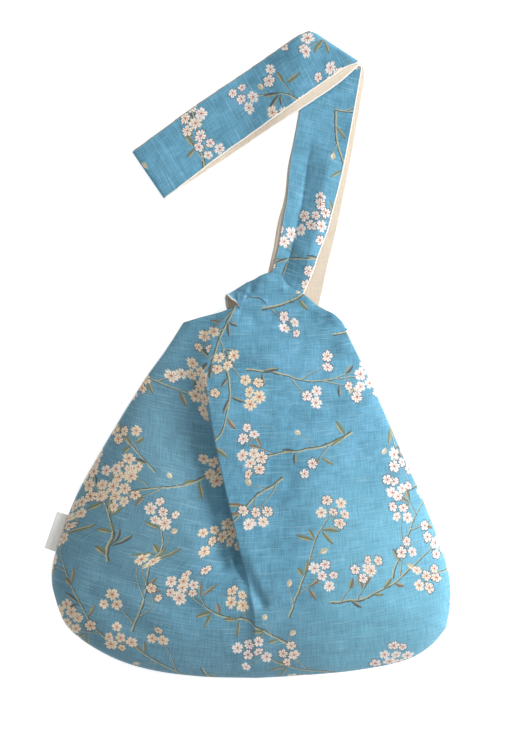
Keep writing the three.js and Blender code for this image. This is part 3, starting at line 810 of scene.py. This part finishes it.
def ground_dye_and_painted_light(tree, cloth):
    """The ground dyed in soft patches, with painted shade that greys it on the left and along the bottom, and
    painted light that makes it paler low on the right.
    """
    looks = bpy.context.scene.knot_bag_print
    patches = add(tree, "TexNoise", {}, cloth, Scale=1 / 42, Detail=2.0, Roughness=0.55)
    blotches = add(tree, "TexNoise", {}, cloth, Scale=1 / 10, Detail=5.0, Roughness=0.66, Distortion=0.4)
    level = add(tree, "Math", MULTIPLY, blotches, 0.5)
    level = add(tree, "Math", MULTIPLY_ADD, patches, 0.5, level)
    ground = add(tree, "ValToRGB", {}, level)
    ramp = ground.color_ramp.elements
    ramp[0].position = 0.34
    ramp[0].color = [*looks.ground_dark, 1]
    ramp[1].position = 0.66
    ramp[1].color = [*looks.ground_light, 1]
    ramp.new(0.5).color = [*looks.ground, 1]
    across, up, _ = add(tree, "SeparateXYZ", {}, cloth).outputs
    # Painted shade: greyer on the left, which faces away from the light on the right, and along the bottom
    painted_shade_left = add(tree, "MapRange", SOFT, across, 0.0, -90.0, 0.0, 0.85)
    below = add(tree, "MapRange", SOFT, up, 95.0, 15.0, 0.0, 0.7)
    painted_shade_inward = add(tree, "MapRange", SOFT, across, 90.0, 20.0, 0.3, 1.0)
    greyer = add(tree, "Math", MAXIMUM, painted_shade_left, add(tree, "Math", MULTIPLY, below, painted_shade_inward))
    # Painted light: paler low on the right, where the light from the right falls
    right = add(tree, "MapRange", SOFT, across, 25.0, 75.0)
    low = add(tree, "MapRange", SOFT, up, 190.0, 100.0, 0.0, 0.8)
    paler = add(tree, "Math", MULTIPLY, right, low)
    pale = add(tree, "Mix", COLOURS, paler, ground, [*looks.ground_painted_light, 1])
    return add(tree, "Mix", COLOURS, greyer, pale, [*looks.ground_painted_shade, 1])


def printed_cotton():
    """Slub cotton, vat dyed and screen printed: matt, mottled, with uneven threads that catch the light, and
    with light and shade painted on its threads and ground.
    """
    material, tree = new_material(PRINTED_COTTON)
    cloth = add(tree, "UVMap", {"uv_map": "cloth"})
    threads, slubs = weave(tree, add(tree, "UVMap", {"uv_map": "weave"}), DRAWN_THREAD, 24.0)
    # Painted light and shade: the ground is lighter where the threads stand up and darker between them
    thread_painted_light_and_shade = add(tree, "MapRange", {}, threads, 0.7, 1.3, 0.8, 1.2)
    thread_shaded_ground = add(tree, "VectorMath", {"operation": "SCALE"}, ground_dye_and_painted_light(tree, cloth), Scale=thread_painted_light_and_shade)
    colour = add(tree, "Mix", COLOURS, add(tree, "Math", MULTIPLY, slubs, 0.2), thread_shaded_ground, SLUB)
    # The drawn lines shake a little, as a brush's do
    shake = add(tree, "TexNoise", {}, cloth, Scale=0.55, Detail=1.0)
    wobble = add(tree, "VectorMath", SUBTRACT, shake.outputs["Color"], (0.5, 0.5, 0.5))
    wobble = add(tree, "VectorMath", MULTIPLY, wobble, (0.34, 0.34, 0.0))
    colour = stem_layer(tree, colour)
    colour = leaf_layer(tree, colour, wobble)
    for map_name in ("blossom", "blossom_over"):
        colour = blossom_layer(tree, colour, map_name, wobble)
    height = add(tree, "Math", MULTIPLY_ADD, slubs, 0.6, threads)
    finish_material(tree, white_edge(tree, colour), height, 0.86, 0.12, 0.55)
    return material


def plain_lining():
    """Unbleached cotton lining: matt cream, plain woven, with painted shade that makes it a little greyer in
    the hollows of its weave.
    """
    material, tree = new_material(CREAM_LINING)
    looks = bpy.context.scene.knot_bag_print
    place = add(tree, "TexCoord", {}).outputs["Object"]
    in_mm = add(tree, "Mapping", {}, place, Scale=(1 / MM, 1 / MM, 1 / MM))
    threads, _ = weave(tree, in_mm, DRAWN_THREAD, 20.0)
    # Painted shade: darker where the threads' relief is low
    tone = add(tree, "MapRange", {}, threads, 0.6, 1.4)
    painted_hollow_shade = [share * 0.86 for share in looks.lining] + [1]
    colour = add(tree, "Mix", COLOURS, tone, painted_hollow_shade, [*looks.lining, 1])
    finish_material(tree, white_edge(tree, colour), threads, 0.88, 0.1, 0.35)
    return material


def woven_tape():
    """Fine white polyester tape with ribs across it: smoother and a little shinier than the cotton."""
    material, tree = new_material(WHITE_TAPE)
    cloth = add(tree, "UVMap", {"uv_map": "cloth"})
    bands = {"wave_type": "BANDS", "bands_direction": "Y"}
    ribs = add(tree, "TexWave", bands, cloth, Scale=0.5, Distortion=0.3).outputs["Fac"]
    # Painted light and shade: the tape is whiter where its ribs stand up and greyer between them
    tone = add(tree, "Mix", COLOURS, ribs, linear("#f1f0ec"), linear("#fdfdfa"))
    finish_material(tree, tone, ribs, 0.6, 0.0, 0.3)
    return material


MATERIAL_MAKERS = {PRINTED_COTTON: printed_cotton, CREAM_LINING: plain_lining, WHITE_TAPE: woven_tape}


def material_named(name):
    return bpy.data.materials.get(name) or MATERIAL_MAKERS[name]()


def cloth_piece(name, points, materials, facing, wall):
    """A sheet through rows of points in mm, with a wall behind its face, as one object at the origin."""
    rows, columns = points.shape[:2]
    shape = bmesh.new()
    bmesh.ops.create_grid(shape, x_segments=columns - 1, y_segments=rows - 1, size=1.0)
    for vert, place in zip(shape.verts, ((points + SHIFT) * MM).reshape(-1, 3)):
        vert.co = place
    if facing < 0:
        bmesh.ops.reverse_faces(shape, faces=shape.faces)
    for face in shape.faces:
        face.smooth = True
    mesh = bpy.data.meshes.new(name)
    shape.to_mesh(mesh)
    shape.free()
    for material in materials:
        mesh.materials.append(material_named(material))
    piece = bpy.data.objects.new(name, mesh)
    bpy.context.scene.collection.objects.link(piece)
    solid = piece.modifiers.new("wall", "SOLIDIFY")
    solid.thickness = wall * MM
    solid.offset = -1
    solid.use_quality_normals = True
    if len(materials) > 1:
        solid.material_offset = 1
    return piece


def context_pouch():
    return bpy.context.scene.knot_bag_pouch


def seat(piece, slot, *nodes):
    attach(piece, "root")
    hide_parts(*nodes)


# The picture's height in pixels, and what one of them covers in mm
PICTURE_HEIGHT = 729
PIXEL = 0.75

# Middle line of the long handle and the line that it is folded over
STRAP_KNOT = np.array([0.098 * POUCH_WIDTH, 1.0037 * POUCH_HEIGHT])
HALF_STACK = 2 * CLOTH + GAP + STRAP_PART / 2


def strap_direction(along):
    lean = mix(FOLD_LEAN, KNOT_LEAN, (along / STRAP_RISE) ** 2) if along < 0 else TAIL_LEAN
    return toward(math.radians(lean))


def strap_middle(along):
    steps = 24
    length = (along + STRAP_RISE) / steps
    middle = STRAP_KNOT.copy()
    for step in range(steps):
        middle += length * strap_direction((step + 0.5) * length - STRAP_RISE)
    return middle


CREASE_LINE = toward(math.radians(CREASE_ANGLE))
PAST_CREASE = right_of(CREASE_LINE)
PRESSED = CREASE_REACH * (CREASE_RADIUS + HALF_STACK)
FOLD_MIDDLE = strap_middle(0) - PRESSED * PAST_CREASE
FOLD_LENGTH = 2.4 * CREASE_RADIUS
CREASE_SLANT = math.radians(CREASE_ANGLE - FOLD_LEAN)
BEND_START = -PRESSED / math.sin(CREASE_SLANT)
BEND_END = BEND_START + FOLD_LENGTH / math.sin(CREASE_SLANT)
STRAP_SIDE = right_of(toward(math.radians(FOLD_LEAN)))
BEND_REACH = 1.1 * STRAP_WIDTH
BEND_NEAR = 0.3 * STRAP_WIDTH
FRONT_LIFT = MOUTH_HEIGHT - 2 * CLOTH - GAP - STRAP_CLEAR - 2 * HALF_STACK
BAND_BACK = 2 * CLOTH + 2 * GAP


def lay_strap(flat, height):
    """Takes points of the flat strap, their heights measured from the middle of the doubled strap, to where
    they lie once it is folded over."""
    offset = flat - FOLD_MIDDLE
    beyond = offset @ PAST_CREASE
    turn = math.pi * np.clip(beyond / FOLD_LENGTH, 0, 1)
    radius = CREASE_RADIUS - height
    reach = CREASE_REACH * radius * np.sin(turn) - np.maximum(beyond - FOLD_LENGTH, 0)
    folded = FOLD_MIDDLE + np.outer(offset @ CREASE_LINE, CREASE_LINE) + np.outer(reach, PAST_CREASE)
    level = HALF_STACK + CREASE_RADIUS - radius * np.cos(turn)
    clear = -(folded - FOLD_MIDDLE) @ STRAP_SIDE - STRAP_WIDTH / 2
    level = level - 2 * CREASE_RADIUS * smooth(clear, 0, BEND_REACH)
    before = (beyond <= 0)[:, None]
    return np.where(before, np.column_stack([flat, HALF_STACK + height]), np.column_stack([folded, level]))


def strap_row(along, height, edges, is_front, peek, columns, settings):
    share = along / (STRAP_RISE if along < 0 else STRAP_TAIL)
    direction = strap_direction(along)
    to_right = right_of(direction)
    left = look_up(edges, "along", share, "left") * STRAP_WIDTH
    right = look_up(edges, "along", share, "right") * STRAP_WIDTH
    extra = peek * look_up(LINING_PEEK, "along", share, "share") * STRAP_WIDTH
    pleat_at = mix(left, right, PLEAT_ACROSS)
    offset = mix(left, right, columns)
    offset[0] -= extra
    near_knot = smooth(-share, 0.64, 0.96)
    lift = np.full(len(columns), near_knot * (FRONT_LIFT if is_front else BAND_BACK))
    slant = (smooth(abs(along), BEND_NEAR, BEND_REACH) - 1) / math.tan(CREASE_SLANT)
    flat = strap_middle(along) + np.outer(offset, to_right) + np.outer(slant * offset, direction)
    wave = settings.strap_waves / MM
    ripple = 0.5 + 0.5 * unevenness(flat[:, 0], flat[:, 1], 30, 5)
    if is_front:
        from_pleat = (offset - pleat_at) / STRAP_WIDTH
        fade = smooth(-share, 0.34, 0.58) * (1 - 0.7 * smooth(-share, 0.92, 1.04))
        left_side = np.clip(-from_pleat / PLEAT_ACROSS, 0, 1) ** 0.6
        right_side = np.clip(from_pleat / PLEAT_ACROSS, 0, 1) ** 0.7
        right_side *= 1 - smooth(from_pleat, PLEAT_ACROSS, 2.1 * PLEAT_ACROSS)
        rise = np.where(from_pleat < 0, left_side, right_side)
        lift += PLEAT_RISE * fade * rise
        lift -= PLEAT_SINK * smooth(-share, 0.7, 0.95) * (1 - rise)
        lift += wave * ripple * smooth(-share, 0.05, 0.2) * (1 - near_knot)
    elif share > 0:
        lift -= wave * ripple * smooth(share, 0.2, 0.4) * (1 - smooth(share, 0.85, 1))
        lift += SEAM_DIP * bell(along - STRAP_TAIL + SEAM_FROM_END, 1.2)
    return lay_strap(flat, height + lift)


def strap_surface(radius, peek, settings):
    """One surface of the long handle's strip, from its front end round its far turn to its back end."""
    columns = np.linspace(0, 1, 45)

    def stations(start):
        rise = np.linspace(start, BEND_START - 0.12 * STRAP_WIDTH, 120)
        bend = np.linspace(BEND_START, BEND_END, 22)
        tail = np.linspace(BEND_END + 0.12 * STRAP_WIDTH, STRAP_TAIL - 0.2 * STRAP_WIDTH, 110)
        return np.concatenate([rise, bend, tail])

    rows = []
    for along in stations(FRONT_HALF["along"][0] * STRAP_RISE):
        rows.append(strap_row(along, radius, FRONT_HALF, True, peek, columns, settings))
    turn_middle = STRAP_TAIL - HALF_STACK
    for turn in np.linspace(0, math.pi, 9):
        edges = FRONT_HALF if turn < math.pi / 2 else BACK_HALF
        along = turn_middle + radius * math.sin(turn)
        rows.append(strap_row(along, radius * math.cos(turn), edges, False, peek, columns, settings))
    for along in stations(BACK_HALF["along"][0] * STRAP_RISE)[::-1]:
        rows.append(strap_row(along, -radius, BACK_HALF, False, peek, columns, settings))
    return np.array(rows)


def leg_rows(table, steps):
    scale = np.array([POUCH_WIDTH, POUCH_HEIGHT, POUCH_HEIGHT])
    knots = np.column_stack([table["across"], table["top"], table["bottom"]]) * scale
    return at(curve_through(knots), np.linspace(0, 1, steps))


BAND_COLUMNS = np.linspace(0, 1, 25)
BAND_STEPS = 110
FOLD_TOP = at(FOLD_CURVE, 1.0)
FOLD_LENGTH_UP = FOLD_CURVE[0][:, 1].max()


def front_edge_height(x):
    """The front's top edge right of its fold: how far up it lies at x."""
    points, _ = outline(FRONT_EDGE_RIGHT)
    return np.interp(x, points[:, 0], points[:, 1])


def front_leg_row(x, top, bottom, depth):
    """One row of the short handle over the front, from its lower edge up."""
    merge = float(smooth(x, MERGE_START, MERGE_END)) * (depth == 0)
    low = bottom - MERGE_RUN * merge
    y = mix(low, top, BAND_COLUMNS)
    edge = front_edge_height(x)
    under = np.minimum(y, edge)
    up = 1 - (edge - under) / FOLD_LENGTH_UP
    from_fold = np.maximum(x - at(FOLD_CURVE, up)[:, 0], 0)
    level = front_height(np.full(y.shape, x), under, up, from_fold)
    arch = BAND_ARCH * min((top - bottom) / (0.04 * POUCH_HEIGHT), 1) ** 3
    level += arch * np.sin(math.pi * np.clip((y - bottom) / (top - bottom), 0, 1))
    level += mix(CLOTH, 0.3 - (0.3 + MERGE_SINK) * (1 - smooth(y, low, low + MERGE_RUN)), merge)
    level -= BAND_FALL * (1 - smooth(x, *BAND_FALL_RUN)) * BAND_COLUMNS
    level -= dents(BAND_CREASES, x, y)
    return np.column_stack([np.full(y.shape, x), y, level - depth])


def band_surface(depth):
    """One surface of the short handle: from the right shoulder over the long handle, round and back."""
    front = leg_rows(FRONT_LEG, BAND_STEPS)
    rows = [front_leg_row(x, top, bottom, depth) for x, top, bottom in front]
    back = leg_rows(BACK_LEG, 60)
    last, first = front[-1], back[0]
    high = rows[-1][:, 2] + depth
    for share in np.linspace(0, 1, 20)[1:-1]:
        turn = math.pi * share
        top = mix(last[1], first[1], share) - 0.012 * POUCH_HEIGHT * math.sin(turn)
        bottom = look_up(BAND_END, "share", share, "bottom") * POUCH_HEIGHT
        x = last[0] - (BAND_TURN + BAND_LEAN * (1 - BAND_COLUMNS) - depth) * math.sin(turn)
        level = high * (1 + math.cos(turn)) / 2 - depth * math.cos(turn)
        rows.append(np.column_stack([x, mix(bottom, top, BAND_COLUMNS), level]))
    for x, top, bottom in back:
        rows.append(np.column_stack([np.full(BAND_COLUMNS.shape, x), mix(bottom, top, BAND_COLUMNS),
                                     np.full(BAND_COLUMNS.shape, depth)]))
    return np.array(rows)


def cloth_of_band(points):
    """The short handle's place on the front's own cloth, which it runs on from."""
    edge, _ = outline(FRONT_EDGE_RIGHT)
    height = front_height(edge[:, 0], edge[:, 1], np.ones(len(edge)), edge[:, 0] - FOLD_TOP[0])
    run = np.append(0, np.cumsum(np.hypot(np.diff(edge[:, 0]), np.diff(height))))
    sideways = FOLD_TOP[0] + np.interp(points[:BAND_STEPS, 0, 0], edge[:, 0], run)
    middle = points[BAND_STEPS - 1:, len(BAND_COLUMNS) // 2]
    onward = sideways[-1] - np.cumsum(np.hypot(np.diff(middle[:, 0]), np.diff(middle[:, 2])))
    sideways = np.concatenate([sideways, onward])[:, None]
    return np.dstack([np.broadcast_to(sideways, points.shape[:2]), points[..., 1]])


def edge_of_band(points):
    """White along the lower edge where the short handle turns, and none where it runs into the front."""
    x = points[:, 0, 0]
    strength = 1 - smooth(x, -8.6, -7.2) + 0.3 * smooth(x, -4, -2) * (1 - smooth(x, 6, 12))
    distance = np.cumsum(np.linalg.norm(np.diff(points, axis=1, prepend=points[:, :1]), axis=2), axis=1)
    return np.dstack([distance, np.broadcast_to(strength[:, None], distance.shape)])


def colour_property(name, description, colour):
    """A colour that a user may change."""
    return FloatVectorProperty(
        name=name, description=description, subtype="COLOR", default=linear(colour)[:3]
    )


class KnotBagPouchSettings(bpy.types.PropertyGroup):
    """Shape of the pouch's cloth."""

    wrinkles: FloatProperty(
        name="Wrinkles", description="Strength of the front's creases and dents", default=1.0, min=0, max=2
    )
    side_slope: FloatProperty(
        name="Side slope", description="Fall of the front to its sides, as a share of its crown", default=0.16
    )
    rows: IntProperty(name="Rows", description="Rows of faces up the front", default=196, min=20)
    columns: IntProperty(
        name="Columns", description="Columns of faces across half of the front", default=112, min=10
    )


class KnotBagHandleSettings(bpy.types.PropertyGroup):
    """Shape of the handles' cloth."""

    strap_waves: FloatProperty(
        name="Waves", description="Height of the long handle's soft waves", default=1.2 * MM, unit="LENGTH"
    )


class KnotBagPrintSettings(bpy.types.PropertyGroup):
    """The print, the dyed ground, and the painted shade and painted light on the ground."""

    seed: IntProperty(name="Seed", description="Layout of the sprays", default=60)
    blossom_size: FloatProperty(
        name="Blossom", description="Blossom from edge to edge", default=10.4 * MM, unit="LENGTH"
    )
    spray_spacing: FloatProperty(
        name="Spray spacing", description="Distance between sprays", default=70 * MM, unit="LENGTH"
    )
    ground: colour_property("Ground", "Dyed ground", "#5f98b2")
    ground_dark: colour_property("Deep ground", "Its deeper, greener patches", "#4f839b")
    ground_light: colour_property("Light ground", "Its lighter patches", "#6ea9c8")
    # Painted shade on the ground's left and lower parts
    ground_painted_shade: colour_property("Grey ground", "Its greyer left and lower parts", "#638d9f")
    # Painted light on the ground's lower right
    ground_painted_light: colour_property("Pale ground", "Painted light on its lower right", "#74b3cb")
    lining: colour_property("Lining", "Cream lining", "#e2d5c3")


class KnotBagStageSettings(bpy.types.PropertyGroup):
    """Light, floor and camera."""

    window: FloatProperty(name="Window", description="Power of the light from the right", default=46.0)
    ceiling: FloatProperty(name="Ceiling", description="Power of the light from above", default=9.0)
    fill: FloatProperty(name="Fill", description="Strength of the room's light", default=0.39)
    glow: FloatProperty(name="Floor glow", description="Light that the white floor gives back", default=0.6)
    floor: colour_property("Floor", "Floor colour", "#fbfbfb")
    distance: FloatProperty(
        name="Camera distance", description="Camera above the bag", default=1.6, unit="LENGTH"
    )


class KNOTBAG_OT_front(bpy.types.Operator):
    """Makes the front of the pouch with its lap fold and print"""

    bl_idname = "knot_bag.front"
    bl_label = "Front panel"

    def execute(self, context):
        pouch = context.scene.knot_bag_pouch
        counts = (pouch.rows, pouch.columns, pouch.columns)
        points, up, from_fold = panel_points(
            FOLD_CURVE, FRONT_EDGE_LEFT, FRONT_EDGE_RIGHT, counts, front_height
        )
        over = look_up(FOLD_DROPS, "along", up, "over") * bell(from_fold, 1.6)
        cloth = cloth_of_panel(points, pouch.columns)
        # The lap hides a strip of the left side's cloth
        hidden = LAP_HIDES * smooth(up, 0.2, 0.42) * (1 - smooth(up, 0.7, 0.95))
        cloth[:, :pouch.columns, 0] -= hidden[:, :pouch.columns]
        points[..., 0] -= over
        front = cloth_piece("pouch_front", points, LINED_COTTON, 1, POUCH_WALL)
        front_print(context).lay(front.data, cloth, edge_of_panel(points), grain_of_front(cloth))
        seat(front, "printed_cotton", "front_panel")
        return {"FINISHED"}


class KNOTBAG_OT_back(bpy.types.Operator):
    """Makes the back of the pouch"""

    bl_idname = "knot_bag.back"
    bl_label = "Back panel"

    def execute(self, context):
        middle = outline(BACK_MIDDLE)
        counts = (BACK_ROWS, BACK_COLUMNS, BACK_COLUMNS)
        points, _, _ = panel_points(middle, BACK_EDGE_LEFT, BACK_EDGE_RIGHT, counts, back_height)
        back = cloth_piece("pouch_back", points, LINED_COTTON, -1, POUCH_WALL)
        looks = context.scene.knot_bag_print
        sprays = Print((-170, -20), (170, 300), looks, looks.seed + 1)
        sprays.lay(back.data, cloth_of_panel(points, BACK_COLUMNS), edge_of_panel(points))
        seat(back, "printed_cotton", "back_panel")
        return {"FINISHED"}


class KNOTBAG_OT_long_handle(bpy.types.Operator):
    """Makes the long handle's printed layer and its lining"""

    bl_idname = "knot_bag.long_handle"
    bl_label = "Long handle"

    def execute(self, context):
        settings = context.scene.knot_bag_handles
        looks = context.scene.knot_bag_print
        points = strap_surface(HALF_STACK, 0, settings)
        outer = cloth_piece("long_handle_print", points, [PRINTED_COTTON], 1, CLOTH)
        cloth = cloth_of_strip(points)
        edge = edge_of_strip(cloth)
        from_turn = np.abs(cloth[..., 1] - cloth[len(points) // 2, :, 1])
        edge[..., 0] = np.minimum(edge[..., 0], SEAM_STITCH + np.abs(from_turn - SEAM_FROM_END))
        high = (STRAP_WIDTH + 10, STRAP_START + 800)
        sprays = Print((-10, STRAP_START), high, looks, looks.seed + 2, STRAP_SPACING)
        sprays.lay(outer.data, cloth + [0, STRAP_START], edge)
        seat(outer, "printed_cotton", "long_handle")
        points = strap_surface(STRAP_PART / 2 + CLOTH, 1, settings)
        lining = cloth_piece("long_handle_cream", points, [CREAM_LINING], 1, CLOTH)
        lay_maps(lining.data, {"edge": at_corners(lining.data, edge_of_strip(cloth_of_strip(points)))})
        seat(lining, "cream_lining", "long_handle_lining")
        return {"FINISHED"}


class KNOTBAG_OT_short_handle(bpy.types.Operator):
    """Makes the short handle's printed layer and its lining"""

    bl_idname = "knot_bag.short_handle"
    bl_label = "Short handle"

    def execute(self, context):
        points = band_surface(0)
        outer = cloth_piece("short_handle_print", points, [PRINTED_COTTON], 1, CLOTH)
        cloth = cloth_of_band(points)
        front_print(context).lay(outer.data, cloth, edge_of_band(points), grain_of_front(cloth))
        seat(outer, "printed_cotton", "short_handle")
        lining = cloth_piece("short_handle_cream", band_surface(CLOTH + GAP), [CREAM_LINING], 1, CLOTH)
        seat(lining, "cream_lining", "short_handle_lining")
        return {"FINISHED"}


class KNOTBAG_OT_label(bpy.types.Operator):
    """Makes the blank woven tab in the left side seam"""

    bl_idname = "knot_bag.label"
    bl_label = "Side label"

    def execute(self, context):
        middle = at(LEFT_CURVE, LABEL_ALONG)
        ahead = at(LEFT_CURVE, LABEL_ALONG + 0.01) - middle
        ahead /= np.linalg.norm(ahead)
        outward = np.array([-ahead[1], ahead[0]])
        columns = np.linspace(-0.5, LABEL_WIDTH, 15)
        across, along = np.meshgrid(columns, np.linspace(-0.5, 0.5, 41) * LABEL_LENGTH)
        flat = middle + (across + GAP)[..., None] * outward + along[..., None] * ahead
        curl = LABEL_CURL * np.sin(along / LABEL_LENGTH * math.pi * 1.5) * across / LABEL_WIDTH
        points = np.dstack([flat, SEAM_HEIGHT + 0.3 + curl])
        label = cloth_piece("seam_label", points[:, ::-1], [WHITE_TAPE], 1, LABEL_WALL)
        lay_maps(label.data, {"cloth": at_corners(label.data, np.dstack([across[:, ::-1], along]))})
        seat(label, "woven_tape", "side_label")
        return {"FINISHED"}


class KNOTBAG_OT_stage(bpy.types.Operator):
    """Sets the floor, the lights and the overhead camera"""

    bl_idname = "knot_bag.stage"
    bl_label = "Stage"

    def execute(self, context):
        stage = context.scene.knot_bag_stage
        shape = bmesh.new()
        bmesh.ops.create_grid(shape, x_segments=1, y_segments=1, size=4.0)
        mesh = bpy.data.meshes.new("floor")
        shape.to_mesh(mesh)
        shape.free()
        material, tree = new_material("matt_white_paper")
        white = [*stage.floor, 1]
        paper = add(
            tree, "BsdfPrincipled", {}, Roughness=0.9, Base_Color=white, Emission_Color=white,
            Emission_Strength=stage.glow
        )
        add(tree, "OutputMaterial", {}, paper)
        mesh.materials.append(material)
        floor = bpy.data.objects.new("floor", mesh)
        floor.location.z = -0.0005
        context.scene.collection.objects.link(floor)
        for name, place, size, power in (
            ("window", (1.7, 0.4, 0.95), 0.9, stage.window),
            ("ceiling", (0.2, 0.3, 2.4), 2.0, stage.ceiling),
        ):
            light = bpy.data.lights.new(name, "AREA")
            light.size = size
            light.energy = power
            lamp = bpy.data.objects.new(name, light)
            lamp.location = place
            lamp.rotation_euler = (Vector((0, 0, 0)) - Vector(place)).to_track_quat("-Z", "Y").to_euler()
            context.scene.collection.objects.link(lamp)
        world = bpy.data.worlds.new("room")
        world.use_nodes = True
        background = world.node_tree.nodes["Background"]
        background.inputs["Color"].default_value = linear("#ffffff")
        background.inputs["Strength"].default_value = stage.fill
        context.scene.world = world
        context.scene.view_settings.view_transform = "Standard"
        view = bpy.data.cameras.new("overhead")
        view.sensor_fit = "VERTICAL"
        view.sensor_height = 36
        frame_height = PICTURE_HEIGHT * PIXEL * MM
        view.lens = view.sensor_height * stage.distance / frame_height
        camera = bpy.data.objects.new("overhead", view)
        camera.location = (0.0066, -0.0074, stage.distance + SEAM_HEIGHT * MM)
        context.scene.collection.objects.link(camera)
        context.scene.camera = camera
        return {"FINISHED"}


class KNOTBAG_PT_panel(bpy.types.Panel):
    """Lists the steps that make the bag"""

    bl_idname = "KNOTBAG_PT_panel"
    bl_label = "Knot bag"
    bl_space_type = "VIEW_3D"
    bl_region_type = "UI"
    bl_category = "Knot bag"

    def draw(self, context):
        for operator in OPERATORS:
            self.layout.operator(operator.bl_idname)
        for name in SETTINGS:
            group = getattr(context.scene, name)
            for prop in group.bl_rna.properties:
                if prop.identifier not in ("rna_type", "name"):
                    self.layout.prop(group, prop.identifier)


SETTINGS = {
    "knot_bag_pouch": KnotBagPouchSettings,
    "knot_bag_handles": KnotBagHandleSettings,
    "knot_bag_print": KnotBagPrintSettings,
    "knot_bag_stage": KnotBagStageSettings,
}
OPERATORS = (
    KNOTBAG_OT_front,
    KNOTBAG_OT_back,
    KNOTBAG_OT_long_handle,
    KNOTBAG_OT_short_handle,
    KNOTBAG_OT_label,
    KNOTBAG_OT_stage,
)


def register():
    for kind in (*SETTINGS.values(), *OPERATORS, KNOTBAG_PT_panel):
        bpy.utils.register_class(kind)
    for name, kind in SETTINGS.items():
        setattr(bpy.types.Scene, name, PointerProperty(type=kind))


def unregister():
    for name in SETTINGS:
        delattr(bpy.types.Scene, name)
    for kind in (KNOTBAG_PT_panel, *reversed(OPERATORS), *reversed(SETTINGS.values())):
        bpy.utils.unregister_class(kind)


def main():
    register()
    bpy.ops.knot_bag.front()
    bpy.ops.knot_bag.back()
    bpy.ops.knot_bag.long_handle()
    bpy.ops.knot_bag.short_handle()
    bpy.ops.knot_bag.label()
    bpy.ops.knot_bag.stage()


if __name__ == "__main__":
    main()
